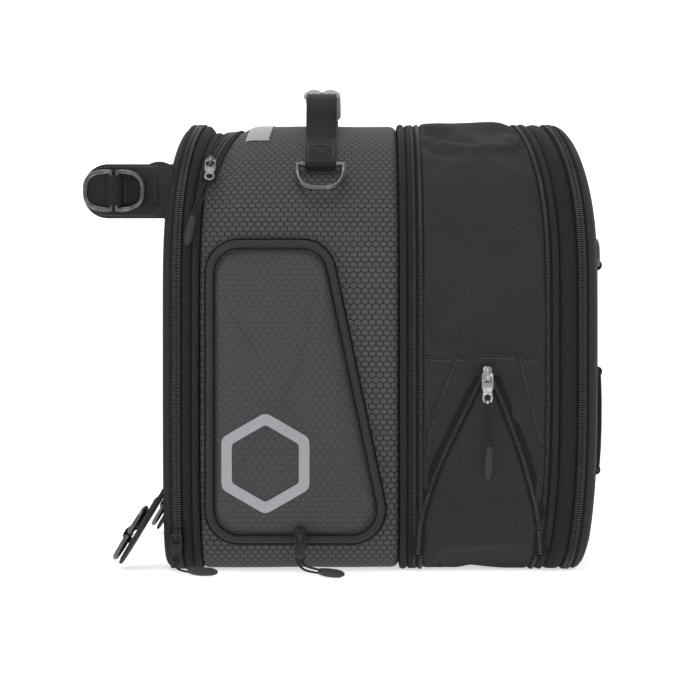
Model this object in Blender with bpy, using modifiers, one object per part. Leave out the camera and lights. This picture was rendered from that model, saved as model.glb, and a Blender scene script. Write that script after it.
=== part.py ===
"""Tail bag for a motorcycle, lying on its front face.

Metres, +Z up.  Strapped to a seat, the bag's own up is +X: the base is at low X and the lid at
high X.  The front face lies on z = 0, the rounded rear points up, and the width runs along Y,
with the near side at -Y.
"""
import math

import bmesh
import bpy
from mathutils import Matrix, Vector

# Section across X: a box with large rear corners and small front corners
WIDTH = 0.350
DEPTH = 0.362
REAR_R = 0.130
FRONT_R = 0.028
HALF = WIDTH / 2
REAR_Y = HALF - REAR_R
REAR_Z = DEPTH - REAR_R
GAP = 0.0003
ROUND_GAP = 0.0008  # clearance over the rear corners, whose walls have flat facets

# How far the edges lean along X at the rear (top) and front (floor) of a seam
LEAN_BASE = (0.012, 0.002)
LEAN_LID = (-0.018, -0.012)
NO_LEAN = (0.0, 0.0)

# Places along X, from the base to the lid
BASE_FACE = -0.1710
BASE_PIPE = -0.1650
BASE_ZIP = (-0.1625, -0.1555)
BASE_COLLAR = (-0.1552, -0.1476)
LOWER_PIPE = -0.1442
SHELL = (-0.1409, 0.0151)
UPPER_PIPE = 0.0184
BAND = (0.0217, 0.0287)
BODY_TEETH = (0.0290, 0.0336)
GUSSET = (0.0339, 0.1291)
LID_TEETH = (0.1294, 0.1340)
COLLAR_PIPE = 0.1373
LID_COLLAR = (0.1406, 0.1542)
LID_ZIP = (0.1545, 0.1625)
LID_EDGE = 0.1628
LID_CROWN = 0.1737

# Wall thicknesses and trimmings
FOAM = 0.0060
FABRIC = 0.0020
LINING = 0.0010
PIPE_R = 0.0029
BASE_PIPE_R = 0.0022
WEBBING = 0.0016
WEBBING_WIDTH = 0.025
ZIP_HEIGHT = 0.0010
LOOP_STITCH = 0.0006  # how far a webbing loop's corners are cut

parts = None
cutters = None


def clear_scene():
    """Start from an empty scene."""
    for thing in list(bpy.data.objects):
        bpy.data.objects.remove(thing)


def make_collections():
    """One collection for the bag's parts and one for the pieces fused into them."""
    global parts, cutters
    parts = bpy.data.collections.new("tail_bag")
    cutters = bpy.data.collections.new("cutters")
    for group in (parts, cutters):
        bpy.context.scene.collection.children.link(group)


def paint(thing, colour, roughness, metallic=0.0):
    """Give a part its own Principled material."""
    material = bpy.data.materials.new(thing.name + "_finish")
    material.use_nodes = True
    shader = material.node_tree.nodes["Principled BSDF"]
    shader.inputs["Base Color"].default_value = (*colour, 1.0)
    shader.inputs["Roughness"].default_value = roughness
    shader.inputs["Metallic"].default_value = metallic
    thing.data.materials.append(material)


HEX_CLOTH = ((0.060, 0.058, 0.061), 0.70)
PLAIN_CLOTH = ((0.030, 0.030, 0.031), 0.85)
POCKET_CLOTH = ((0.052, 0.052, 0.054), 0.65)
EDGE_CORD = ((0.018, 0.018, 0.019), 0.60)
STRAP = ((0.022, 0.022, 0.023), 0.75)
RUBBER = ((0.016, 0.016, 0.017), 0.90)
GUNMETAL = ((0.16, 0.16, 0.17), 0.32, 0.9)


# ---- outlines ----------------------------------------------------------------------------

def arc(centre, radius, first, last, steps):
    """Points of an arc in a plane, from one angle to another, in degrees."""
    angles = [math.radians(first + (last - first) * k / steps) for k in range(steps + 1)]
    return [Vector((centre[0] + radius * math.cos(a), centre[1] + radius * math.sin(a)))
            for a in angles]


def section(inset=0.0):
    """The bag's D section as (y, z) points, `inset` inside its outer face."""
    half = HALF - inset
    top = DEPTH - inset
    rear = max(REAR_R - inset, 0.002)
    front = max(FRONT_R - inset, 0.002)
    low, high = inset + front, top - rear
    side = [low + (high - low) * k / 4 for k in (1, 2, 3)]
    outline = [Vector((half, z)) for z in side]
    outline += arc((half - rear, high), rear, 0, 90, 8)
    outline += arc((rear - half, high), rear, 90, 180, 8)
    outline += [Vector((-half, z)) for z in reversed(side)]
    outline += arc((front - half, low), front, 180, 270, 3)
    outline += arc((half - front, low), front, 270, 360, 3)
    return outline


def lean(z, amounts):
    """How far a seam leans along X at height z."""
    u = (z - DEPTH / 2) / (DEPTH / 2)
    return (amounts[0] if u > 0 else amounts[1]) * u ** 4


def seam(x, inset=0.0, amounts=NO_LEAN):
    """The section as a loop in space at x, leaning as the outer face does."""
    return [Vector((x + lean(outer.y, amounts), y, z))
            for (y, z), outer in zip(section(inset), section())]


def dome(x, inset):
    """A loop of the lid's dome, leaning by its own height."""
    return [Vector((x + lean(z, LEAN_LID), y, z)) for y, z in section(inset)]


def fillet(corners, radius, steps=4):
    """A flat outline with each corner rounded."""
    outline = []
    for k, corner in enumerate(corners):
        here = Vector(corner)
        back = (Vector(corners[k - 1]) - here).normalized()
        ahead = (Vector(corners[(k + 1) % len(corners)]) - here).normalized()
        half = back.angle(ahead) / 2
        centre = here + (back + ahead).normalized() * radius / math.sin(half)
        start = here + back * radius / math.tan(half) - centre
        end = here + ahead * radius / math.tan(half) - centre
        for s in range(steps + 1):
            outline.append(centre + start.lerp(end, s / steps).normalized() * radius)
    return outline


def grown(outline, distance):
    """An anticlockwise outline moved outward by a distance, inward if negative."""
    moved = []
    for k, point in enumerate(outline):
        along = outline[(k + 1) % len(outline)] - outline[k - 1]
        moved.append(point + Vector((along.y, -along.x)).normalized() * distance)
    return moved


def ribbon(line, thickness):
    """The closed outline of a strip that follows a line in a plane."""
    upper, lower = [], []
    for k, point in enumerate(line):
        along = line[min(k + 1, len(line) - 1)] - line[max(k - 1, 0)]
        side = Vector((-along.y, along.x)).normalized() * thickness / 2
        upper.append(point + side)
        lower.append(point - side)
    return upper + lower[::-1]


def axes(origin, right, up, out):
    """A placing matrix from an origin and three directions."""
    turn = Matrix((Vector(right), Vector(up), Vector(out))).transposed().to_4x4()
    return Matrix.Translation(origin) @ turn


# ---- solids ------------------------------------------------------------------------------

def add(name, data, group=None):
    thing = bpy.data.objects.new(name, data)
    (group or parts).objects.link(thing)
    return thing


def loft(name, loops, close_end=False, close_start=False):
    """A surface through loops of matching points in order along +X, faces outward."""
    build = bmesh.new()
    rings = [[build.verts.new(point) for point in loop] for loop in loops]
    for low, high in zip(rings, rings[1:]):
        for i in range(len(low)):
            j = (i + 1) % len(low)
            build.faces.new((low[i], low[j], high[j], high[i]))
    if close_end:
        build.faces.new(rings[-1])
    if close_start:
        build.faces.new(rings[0][::-1])
    data = bpy.data.meshes.new(name)
    build.to_mesh(data)
    build.free()
    return add(name, data)


def thicken(thing, thickness):
    """Give an open surface its wall, inward."""
    wall = thing.modifiers.new("wall", "SOLIDIFY")
    wall.thickness = thickness
    wall.offset = -1.0


def band(name, span, inset, thickness, first=NO_LEAN, last=None):
    """A wall that runs round the bag between two places along X."""
    wall = loft(name, [seam(span[0], inset, first), seam(span[1], inset, last or first)])
    thicken(wall, thickness)
    return wall


def tube(name, points, radius, closed=False, thickness=None, group=None):
    """A round cord or wire along points; thickness gives a radius factor at each point."""
    data = bpy.data.curves.new(name, "CURVE")
    data.dimensions = "3D"
    data.bevel_depth = radius
    data.bevel_resolution = 2
    data.use_fill_caps = not closed
    line = data.splines.new("POLY")
    line.points.add(len(points) - 1)
    for k, point in enumerate(points):
        line.points[k].co = (*point, 1.0)
        line.points[k].radius = thickness[k] if thickness else 1.0
    line.use_cyclic_u = closed
    return add(name, data, group)


def plate(name, outlines, thickness, place, group=None):
    """A flat piece: an outline and any holes, extruded on both sides of its plane."""
    data = bpy.data.curves.new(name, "CURVE")
    data.dimensions = "2D"
    data.fill_mode = "BOTH"
    data.extrude = thickness / 2
    for outline in outlines:
        line = data.splines.new("POLY")
        line.points.add(len(outline) - 1)
        for k, point in enumerate(outline):
            line.points[k].co = (point[0], point[1], 0.0, 1.0)
        line.use_cyclic_u = True
    thing = add(name, data, group)
    thing.matrix_world = place
    return thing


def as_mesh(thing):
    """A curve turned into a welded mesh in the same place."""
    bpy.context.view_layer.update()
    seen = thing.evaluated_get(bpy.context.evaluated_depsgraph_get())
    data = bpy.data.meshes.new_from_object(seen)
    weld = bmesh.new()
    weld.from_mesh(data)
    bmesh.ops.remove_doubles(weld, verts=weld.verts, dist=0.00001)
    bmesh.ops.recalc_face_normals(weld, faces=weld.faces)
    weld.to_mesh(data)
    weld.free()
    name, group = thing.name, thing.users_collection[0]
    place = thing.matrix_world.copy()
    bpy.data.objects.remove(thing)
    thing = add(name, data, group)
    thing.matrix_world = place
    return thing


def fuse(main, others):
    """Join pieces that are one in the real object; the joined ones become cutters."""
    main = as_mesh(main)
    for other in others:
        other = as_mesh(other)
        other.hide_render = True
        other.display_type = "WIRE"
        join = main.modifiers.new("join", "BOOLEAN")
        join.operation = "UNION"
        join.object = other
    return main


def hang(empty_name, place, things):
    """Parent pieces to an empty on their joint's axis without moving them."""
    pivot = add(empty_name, None)
    pivot.location = place
    bpy.context.view_layer.update()
    for thing in things:
        thing.parent = pivot
        thing.matrix_parent_inverse = pivot.matrix_world.inverted()


# ---- hardware ----------------------------------------------------------------------------

def d_ring(name, place, width, height, wire):
    """A D-ring: its straight bar lies along the place's X, and the bow reaches along -Y."""
    half, deep = width / 2 - wire, height - 2 * wire
    bow = []
    for k in range(12):
        a = math.pi * k / 11
        bow.append(Vector((math.copysign(abs(math.cos(a)) ** 0.7, math.cos(a)) * half,
                           -deep * math.sin(a) ** 0.7, 0.0)))
    ring = tube(name, bow, wire, closed=True)
    ring.matrix_world = place
    paint(ring, *GUNMETAL)
    return ring


SLIDER_LENGTH = 0.0125
SLIDER_WIDTH = 0.0044
EYE_HEIGHT = 0.0042
PULLER = (0.0100, 0.0238, 0.0015)  # width, length and thickness
LEASH_R = 0.0011
GRIP_LENGTH = 0.026
GRIP_SWELL = (2.9, 2.0)  # the grip's radius in leash radii, along it and at its tip


def slider(name, place):
    """A zip slider: X is across the zip, -Y is the way the pull hangs, Z is out of the bag."""
    half = SLIDER_LENGTH / 2
    body = [(-half, 0.0), (half, 0.0), (half, 0.0026), (0.0037, 0.0026), (0.0030, 0.0066),
            (-0.0030, 0.0066), (-0.0037, 0.0026), (-half, 0.0026)]
    eye = [(-0.0018, EYE_HEIGHT - 0.0013), (0.0018, EYE_HEIGHT - 0.0013),
           (0.0018, EYE_HEIGHT + 0.0014), (-0.0018, EYE_HEIGHT + 0.0014)]
    on_edge = axes((0, 0, 0), (0, 1, 0), (0, 0, 1), (1, 0, 0))
    thing = plate(name, [body, eye], SLIDER_WIDTH, place @ on_edge)
    paint(thing, *GUNMETAL)
    return thing


def pull(name, place, route):
    """A slider's puller with its cord and moulded grip, hung on the bar in the slider's eye."""
    lift = Matrix.Translation((0, 0, EYE_HEIGHT))
    half, top = PULLER[0] / 2, 0.0008
    low = top - PULLER[1]
    flat = fillet([(half, top), (-half, top), (-half, low), (half, low)], 0.0006, 1)
    window = [(0.0033, -top), (0.0033, -0.0058), (-0.0033, -0.0058), (-0.0033, -top)]
    tab = plate(name, [flat, window], PULLER[2], place @ lift)
    cord = smooth([Vector(p) for p in route], 3)
    length = [0.0]
    for a, b in zip(cord, cord[1:]):
        length.append(length[-1] + (b - a).length)
    grip_starts = length[-1] - GRIP_LENGTH
    factor = [1.0 if s < grip_starts else GRIP_SWELL[0] for s in length]
    factor[-1] = GRIP_SWELL[1]
    line = tube(name + "_cord", cord, LEASH_R, thickness=factor, group=cutters)
    line.matrix_world = place @ lift
    joined = fuse(tab, [line])
    paint(joined, *RUBBER)
    return joined


def smooth(route, steps):
    """Points on a smooth curve through the route's own points."""
    ends = [2 * route[0] - route[1]] + route + [2 * route[-1] - route[-2]]
    line = []
    for p, a, b, q in zip(ends, ends[1:], ends[2:], ends[3:]):
        for k in range(steps):
            t = k / steps
            line.append(0.5 * (2 * a + (b - p) * t + (2 * p - 5 * a + 4 * b - q) * t ** 2
                               + (3 * a - p - 3 * b + q) * t ** 3))
    return line + [route[-1]]


def zip_pair(name, place, route):
    """A slider and its pull."""
    slider(name + "_slider", place)
    pull(name + "_pull", place, route)


# ---- main body ---------------------------------------------------------------------------

def body_shell():
    """The padded wall in honeycomb cloth."""
    wall = band("body_shell", SHELL, 0.0, FOAM, LEAN_BASE, NO_LEAN)
    paint(wall, *HEX_CLOTH)


def body_lining():
    """The thin cloth inside the wall, which carries the bands as far as the zip."""
    lining = band("body_lining", (SHELL[0], BAND[1]), FOAM + GAP, LINING, LEAN_BASE, NO_LEAN)
    paint(lining, *PLAIN_CLOTH)


BOARD = (-0.1460, -0.1435)
BOARD_INSET = 0.0080


def floor_board():
    """The stiff board across the bottom of the main compartment."""
    board = loft("floor_board", [seam(x, BOARD_INSET) for x in BOARD],
                 close_end=True, close_start=True)
    paint(board, *PLAIN_CLOTH)


def seams():
    """The piping and plain fabric bands that run round the bag."""
    for name, x, amounts in (("base_piping", BASE_PIPE, LEAN_BASE),
                             ("lower_piping", LOWER_PIPE, LEAN_BASE),
                             ("upper_piping", UPPER_PIPE, NO_LEAN),
                             ("collar_piping", COLLAR_PIPE, LEAN_LID)):
        radius = BASE_PIPE_R if name == "base_piping" else PIPE_R
        paint(tube(name, seam(x, radius, amounts), radius, closed=True), *EDGE_CORD)
    for name, span, amounts in (("base_collar", BASE_COLLAR, LEAN_BASE),
                                ("body_band", BAND, NO_LEAN),
                                ("lid_collar", LID_COLLAR, LEAN_LID)):
        paint(band(name, span, 0.0, FABRIC, amounts), *PLAIN_CLOTH)
    for name, span, amounts in (("base_zip", BASE_ZIP, LEAN_BASE),
                                ("body_zip_half", BODY_TEETH, NO_LEAN),
                                ("lid_zip_half", LID_TEETH, LEAN_LID),
                                ("lid_zip", LID_ZIP, LEAN_LID)):
        paint(band(name, span, 0.0, FABRIC, amounts), *EDGE_CORD)


POCKET = [(-0.1357, 0.0226), (0.0100, 0.0226), (-0.0398, 0.2587), (-0.1357, 0.2587)]
POCKET_R = 0.026
WELT_R = 0.0030
POCKET_THICK = 0.0080


def side_pockets():
    """A flat zipped pocket on each side, with the rounded welt that covers its zip."""
    outline = fillet(POCKET, POCKET_R)
    for name, side in (("near", -1), ("far", 1)):
        middle = side * (HALF + GAP + POCKET_THICK / 2)
        place = Matrix.Translation((0, middle, 0)) @ Matrix.Rotation(math.pi / 2, 4, "X")
        panel = plate("side_pocket_" + name, [grown(outline, -2 * WELT_R - GAP)],
                      POCKET_THICK, place)
        paint(panel, *POCKET_CLOTH)
        y = side * (HALF + GAP + WELT_R)
        edge = [Vector((p.x, y, p.y)) for p in grown(outline, -WELT_R)]
        paint(tube("pocket_welt_" + name, edge, WELT_R, closed=True), *EDGE_CORD)


REAR_ZIP_X = -0.1425
REAR_ZIP_LEAN = (0.0235, 0.0)
REAR_ZIP_HALF = 0.004
REAR_ZIP_ENDS = 36
REAR_ZIP_STEP = 6
REAR_SLIDER_ANGLE = 42.0


def on_rear(angle, out, side=-1):
    """The (y, z) point at an angle above the horizontal on a rear corner, `out` from its face."""
    a = math.radians(angle)
    reach = REAR_R + out
    return Vector((side * (REAR_Y + reach * math.cos(a)), REAR_Z + reach * math.sin(a)))


def rear_zip():
    """The zip strip that crosses the rear near the base and ends on both sides."""
    loops = []
    angles = list(range(REAR_ZIP_ENDS, 91, REAR_ZIP_STEP))
    for side in (-1, 1):
        for angle in angles[::-side]:
            low, high = (on_rear(angle, ROUND_GAP + out, side) for out in (0, ZIP_HEIGHT))
            x = REAR_ZIP_X + lean(low.y, REAR_ZIP_LEAN)
            loops.append([Vector((x + dx, p.x, p.y)) for dx, p in
                          ((-REAR_ZIP_HALF, low), (-REAR_ZIP_HALF, high),
                           (REAR_ZIP_HALF, high), (REAR_ZIP_HALF, low))])
    strip = loft("rear_zip", loops, close_end=True, close_start=True)
    paint(strip, *EDGE_CORD)


HANDLE_X = -0.0468
HANDLE_ANGLES = (41.5, 50, 60)
HANDLE_RISE = ((-0.100, 0.3590), (-0.091, 0.3740), (-0.076, 0.3845))
HANDLE_CREST = ((-0.045, 0.3895), (0.0, 0.3915), (0.045, 0.3895))
HANDLE_LOOP = (0.0040, 0.0024)  # outer and inner radius
HANDLE_RING = (0.041, 0.031, 0.0021)
HANDLE_RING_ANGLE = 41.0
HANDLE_RING_OUT = 0.0049
SLEEVE = 0.0026


def handle():
    """Carry handle: webbing over the rear with a ring loop at each end, and a folded grip."""
    out = ROUND_GAP + WEBBING / 2
    rise = [on_rear(angle, out) for angle in HANDLE_ANGLES]
    rise += [Vector(p) for p in HANDLE_RISE]
    crest = [Vector(p) for p in HANDLE_CREST]
    line = rise + crest + [Vector((-p.x, p.y)) for p in reversed(rise)]
    place = axes((HANDLE_X, 0, 0), (0, 1, 0), (0, 0, 1), (1, 0, 0))
    strap = plate("handle_webbing", [ribbon(line, WEBBING)], WEBBING_WIDTH, place)
    loops = []
    for side in (-1, 1):
        eye = on_rear(HANDLE_RING_ANGLE, HANDLE_RING_OUT, side)
        loops.append(plate("handle_loop", [arc(eye, r, 0, 330, 11) for r in HANDLE_LOOP],
                           WEBBING_WIDTH, place, cutters))
    paint(fuse(strap, loops), *STRAP)

    sleeve = []
    wide, high = WEBBING_WIDTH / 2 + 0.0010, WEBBING / 2 + 0.0008
    grip_line = [rise[-1].lerp(crest[0], 0.1)] + crest
    grip_line.append(Vector((-grip_line[0].x, grip_line[0].y)))
    for k, point in enumerate(grip_line):
        along = grip_line[min(k + 1, 4)] - grip_line[max(k - 1, 0)]
        up = Vector((-along.y, along.x)).normalized() * high
        sleeve.append([Vector((HANDLE_X + a * wide, point.x + b * up.x, point.y + b * up.y))
                       for a, b in ((-1, -1), (-1, 1), (1, 1), (1, -1))])
    grip = loft("handle_grip", sleeve)
    cover = grip.modifiers.new("cover", "SOLIDIFY")
    cover.thickness = SLEEVE
    cover.offset = 1.0
    paint(grip, *RUBBER)

    for name, side in (("near", -1), ("far", 1)):
        eye = on_rear(HANDLE_RING_ANGLE, HANDLE_RING_OUT, side)
        a = math.radians(HANDLE_RING_ANGLE)
        up = Vector((0, -side * math.sin(a), math.cos(a)))
        out = Vector((0, side * math.cos(a), math.sin(a)))
        right = up.cross(out)
        d_ring("handle_ring_" + name, axes((HANDLE_X, eye.x, eye.y), right, up, out),
               *HANDLE_RING)


# ---- base --------------------------------------------------------------------------------

BASE_THICK = 0.0030
RIM_X = BASE_PIPE - 0.0025
RIM_INSETS = (0.0060, 0.0026)  # of the rim's inner and outer edge
SHOULDER_INSET = 0.010
FLAT_INSET = 0.052  # where the flat face ends, clear of the tabs


def base_panel():
    """The panel that lies on the seat: flat, with an edge that turns back to its piping."""
    rim = [seam(RIM_X, inset, LEAN_BASE) for inset in RIM_INSETS]
    shoulder = [Vector((BASE_FACE + 0.0006 + lean(z, LEAN_BASE) / 2, y, z))
                for y, z in section(SHOULDER_INSET)]
    back, flat = ([Vector((x, y, z)) for y, z in section(FLAT_INSET)]
                  for x in (BASE_FACE + BASE_THICK, BASE_FACE))
    loops = [back, *rim, shoulder, flat]
    panel = loft("base_panel", [loop[::-1] for loop in loops], close_end=True, close_start=True)
    paint(panel, *RUBBER)


TAB_LENGTH = 0.0635
TAB_WIDTH = 0.043
TAB_THICK = 0.0026
TAB_CORNER = 0.012
LOOP_AT = 0.0385
LOOP_WIDTH = 0.024
LOOP_WALL = 0.0014
PATCH_START = 0.0040
RING_WIRE = 0.0019
RING_PITCH = 0.0046
SLOT = (0.0046, 0.0023)  # half the slot's length and height
RING_OUT = 0.0045
RING_SIZE = (0.034, 0.0245)

# name, root of the tab, and the directions it points along and faces
TABS = (
    ("near_rear", (BASE_FACE - 0.0006, -0.148, 0.299), (-1, 0, 0), (0, -1, 0)),
    ("far_rear", (BASE_FACE - 0.0010, 0.148, 0.302), (-0.76, 0, 0.65), (0, 1, 0)),
    ("near_front", (BASE_FACE - 0.0016, -0.148, 0.0580), (-0.52, 0, -0.854), (-0.854, 0, 0.52)),
    ("far_front", (BASE_FACE - 0.0016, 0.148, 0.0580), (-0.52, 0, -0.854), (-0.854, 0, 0.52)),
)


def mounting_tabs():
    """Four corner tabs, each with a webbing loop that holds two D-rings."""
    for name, root, along, out in TABS:
        along, out = Vector(along).normalized(), Vector(out).normalized()
        across = out.cross(along)
        place = axes(root, along, across, out)
        half = TAB_WIDTH / 2
        corners = [(0, -half), (TAB_LENGTH, -half), (TAB_LENGTH, half), (0, half)]
        shape = [p for p in fillet(corners, TAB_CORNER) if p.x > TAB_CORNER / 2]
        shape += [Vector((0, half)), Vector((0, -half))]
        leaf = plate("tab_" + name, [shape], TAB_THICK, place)
        top = TAB_THICK / 2
        wide, high = SLOT
        middle, wall, cut = top + RING_OUT, LOOP_WALL, LOOP_STITCH
        near, far = LOOP_AT - wide, LOOP_AT + wide
        patch = [(PATCH_START, top - cut), (far + wall - 0.0010, top - cut),
                 (far + wall, top + cut), (far + wall, middle + high - cut),
                 (far - cut, middle + high + wall), (near + cut, middle + high + wall),
                 (near - wall, middle + high - cut), (near - wall, top + WEBBING),
                 (PATCH_START, top + WEBBING)]
        slot = [(near, middle - high), (far, middle - high),
                (far, middle + high), (near, middle + high)]
        on_edge = axes((0, 0, 0), (1, 0, 0), (0, 0, 1), (0, -1, 0))
        loop = plate("tab_loop_" + name, [patch, slot], LOOP_WIDTH, place @ on_edge, cutters)
        paint(fuse(leaf, [loop]), *STRAP)
        for which, side in (("outer", 1), ("inner", -1)):
            at = place @ Vector((LOOP_AT + side * RING_PITCH / 2, 0, top + RING_OUT))
            ring = axes(at, across * side, along * -side, out)
            d_ring("ring_" + name + "_" + which, ring, *RING_SIZE, RING_WIRE)


# ---- expansion and lid -------------------------------------------------------------------

GUSSET_CLOTH = 0.0012
GUSSET_INSET = 0.0010
GUSSET_SAG = 0.0030


def gusset():
    """The soft wall between the body and the lid frame, open at both ends."""
    mid = (GUSSET[0] + GUSSET[1]) / 2
    slack = Vector((LEAN_LID[0] / 2, LEAN_LID[1] / 2))
    wall = loft("gusset", [seam(GUSSET[0], GUSSET_INSET), seam(mid, GUSSET_SAG, slack),
                           seam(GUSSET[1], GUSSET_INSET, LEAN_LID)])
    thicken(wall, GUSSET_CLOTH)
    paint(wall, *PLAIN_CLOTH)


V_X = 0.0835
V_TOP = 0.154
V_LEGS = ((0.0280, 0.0150), (0.0280, 0.0420), (V_X - 0.0050, V_TOP),
          (V_X + 0.0050, V_TOP), (0.1240, 0.0650), (0.1290, 0.0150))
V_TAPE = 0.0080


def v_zip():
    """The expansion zip's tail on the near side: an inverted V of two tapes."""
    legs = [Vector(p) for p in V_LEGS]
    middle = HALF + GAP + ZIP_HEIGHT / 2
    place = axes((0, -middle, 0), (1, 0, 0), (0, 0, 1), (0, -1, 0))
    tape = plate("v_zip", [ribbon(legs, V_TAPE)], ZIP_HEIGHT, place)
    paint(tape, *EDGE_CORD)


def lid_top(z, out=0.0):
    """The lid's outer face at height z, away from its edges."""
    return LID_CROWN + lean(z, LEAN_LID) + out


# The lid's dome as (inset, x), and the stiff board's insets and places along X
LID_PROFILE = ((0.0, LID_EDGE + 0.0002), (0.0, 0.1655), (0.0030, 0.1692), (0.0100, 0.1712),
               (0.0280, 0.1722), (0.0600, LID_CROWN - 0.0004), (0.1100, LID_CROWN))
LID_WALL = 0.0030
LID_BOARD_INSETS = (0.0140, 0.0600, 0.1100)
LID_BOARD = (0.1640, 0.1655)


def lid_shell():
    """The domed lid panel, hollow underneath."""
    shell = loft("lid_shell", [dome(x, inset) for inset, x in LID_PROFILE], close_end=True)
    thicken(shell, LID_WALL)
    paint(shell, *PLAIN_CLOTH)


def lid_board():
    """The stiff board behind the lid's fabric."""
    front = [dome(LID_BOARD[1], inset) for inset in LID_BOARD_INSETS]
    back = [dome(LID_BOARD[0], inset) for inset in reversed(LID_BOARD_INSETS)]
    board = loft("lid_board", back + front, close_end=True, close_start=True)
    paint(board, *PLAIN_CLOTH)


LID_STRAP_Y = 0.095
STRAP_HEIGHTS = [0.0600 + 0.0256 * k for k in range(8)]
LOOPS_Z = (0.0755, 0.1555)
LID_RING_Z = STRAP_HEIGHTS[-1] + 0.0030
LID_RING = (0.034, 0.024, 0.0018)
LID_LOOP = (0.0042, 0.0026)  # outer and inner radius
CORD_R = 0.0020
CORD_OUT = 0.0048
CROSSING = (0.0052, 0.022)  # how far one cord rises over the other, and over what length
CORD_SWING = 0.010


def lid_straps():
    """Two webbing straps on the lid, each with two cord tunnels and a ring loop at its end."""
    for name, side in (("near", -1), ("far", 1)):
        place = axes((0, side * LID_STRAP_Y, 0), (1, 0, 0), (0, 0, 1), (0, -1, 0))
        line = [Vector((lid_top(z, GAP + 0.0002 + WEBBING / 2), z)) for z in STRAP_HEIGHTS]
        strap = plate("lid_strap_" + name, [ribbon(line, WEBBING)], WEBBING_WIDTH, place)
        tunnels = []
        for z in LOOPS_Z + (LID_RING_Z,):
            eye = Vector((lid_top(z, CORD_OUT), z))
            tunnels.append(plate("lid_loop", [arc(eye, r, 0, 330, 11) for r in LID_LOOP],
                                 WEBBING_WIDTH, place, cutters))
        paint(fuse(strap, tunnels), *STRAP)
        eye = (lid_top(LID_RING_Z, CORD_OUT), side * LID_STRAP_Y, LID_RING_Z)
        d_ring("lid_ring_" + name, axes(eye, (0, 1, 0), (0, 0, -1), (1, 0, 0)), *LID_RING)


def lid_cord():
    """The elastic cord, laced crosswise through the four tunnels."""
    low, high = LOOPS_Z
    edge = LID_STRAP_Y + WEBBING_WIDTH / 2 + 0.002
    inner = LID_STRAP_Y - WEBBING_WIDTH / 2 - 0.002
    points = []
    middle, swing = (high + low) / 2, (high - low) / 2
    for side, bump in ((-1, 0.0), (1, CROSSING[0])):
        points.append((side * edge, high, 0.0))
        for k in range(9):
            y = side * inner * (1 - k / 4)
            rise = bump * math.exp(-(y / CROSSING[1]) ** 2)
            points.append((y, high + (low - high) * k / 8, rise))
        points.append((-side * edge, low, 0.0))
        for k in (1, 2, 3, 4):
            a = math.radians(36 * k)
            points.append((-side * (edge + CORD_SWING * math.sin(a)),
                           middle - swing * math.cos(a), 0.0))
    path = [Vector((lid_top(z, CORD_OUT + rise), y, z)) for y, z, rise in points]
    paint(tube("lid_cord", path, CORD_R, closed=True), *EDGE_CORD)


# ---- zip sliders -------------------------------------------------------------------------

# The pulls' routes from the slider's bar: (across the zip, along it, out of the bag)
HANGING = [(0, -0.022, 0), (0.001, -0.036, 0.001), (0.002, -0.050, 0), (0, -0.082, -0.0004)]
REAR_DRIFT = ((-0.001, 0.022), (-0.006, 0.038), (-0.011, 0.050), (-0.016, 0.074))
PULL_CURL = 0.134  # radius of the rear corner under the rear pull
POCKET_LYING = ((0, -0.0215, 0), (0.004, -0.0250, 0.004), (0.012, -0.0262, 0.013),
                (0.020, -0.0262, 0.024), (0.034, -0.0262, 0.036))
BASE_LYING = ((0, -0.0215, 0), (0.003, -0.0245, 0.005), (0.010, -0.0252, 0.016),
              (0.018, -0.0252, 0.024), (0.034, -0.0252, 0.030))
POCKET_SLIDER = (-0.062, 0.0300)
BASE_SLIDER = (-0.1585, 0.0290)
LID_SLIDER = (0.1585, 0.120)


def on_side(x, z, side, out):
    """A placing for a slider on a flat side, pull hanging down."""
    up = Vector((0, 0, 1))
    away = Vector((0, side, 0))
    return axes((x, side * (HALF + out), z), up.cross(away), up, away)


def sliders():
    """Each zip's slider and pull, at the place where the zip is closed."""
    zip_pair("expansion", on_side(V_X, V_TOP, -1, GAP + ZIP_HEIGHT + 0.0005), HANGING)

    a = math.radians(REAR_SLIDER_ANGLE)
    at = on_rear(REAR_SLIDER_ANGLE, ROUND_GAP + GAP + ZIP_HEIGHT)
    up, away = Vector((0, math.sin(a), math.cos(a))), Vector((0, -math.cos(a), math.sin(a)))
    bend = [(u, -s, -s ** 2 / (2 * PULL_CURL)) for u, s in REAR_DRIFT]
    x = REAR_ZIP_X + lean(at.y, REAR_ZIP_LEAN)
    zip_pair("rear", axes((x, at.x, at.y), up.cross(away), up, away), bend)

    for name, side in (("near", -1), ("far", 1)):
        for zip_name, where, lying, out in (("pocket_", POCKET_SLIDER, POCKET_LYING,
                                             POCKET_THICK + 2 * GAP),
                                            ("base_", BASE_SLIDER, BASE_LYING, GAP)):
            route = [(-side * u, v, w) for u, v, w in lying]
            zip_pair(zip_name + name, on_side(*where, side, out), route)
    zip_pair("lid", on_side(*LID_SLIDER, 1, GAP), HANGING)


BASE_HINGE = (-0.1570, 0.0, 0.0)
LID_HINGE = (0.1465, 0.0, 0.0)


def set_pivots():
    """Put the lid's and the base's pieces on their hinge lines."""
    named = bpy.data.objects
    base = ["base_panel", "base_piping", "base_zip"] + ["tab_" + t[0] for t in TABS]
    lid = ["lid_shell", "lid_board", "lid_zip", "lid_strap_near", "lid_strap_far", "lid_cord"]
    hang("base_hinge", BASE_HINGE, [named[n] for n in base])
    hang("lid_hinge", LID_HINGE, [named[n] for n in lid])


def shade_round():
    """Smooth shading on the curved pieces."""
    for thing in parts.objects:
        if thing.type == "MESH":
            thing.data.polygons.foreach_set("use_smooth", [True] * len(thing.data.polygons))


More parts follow.
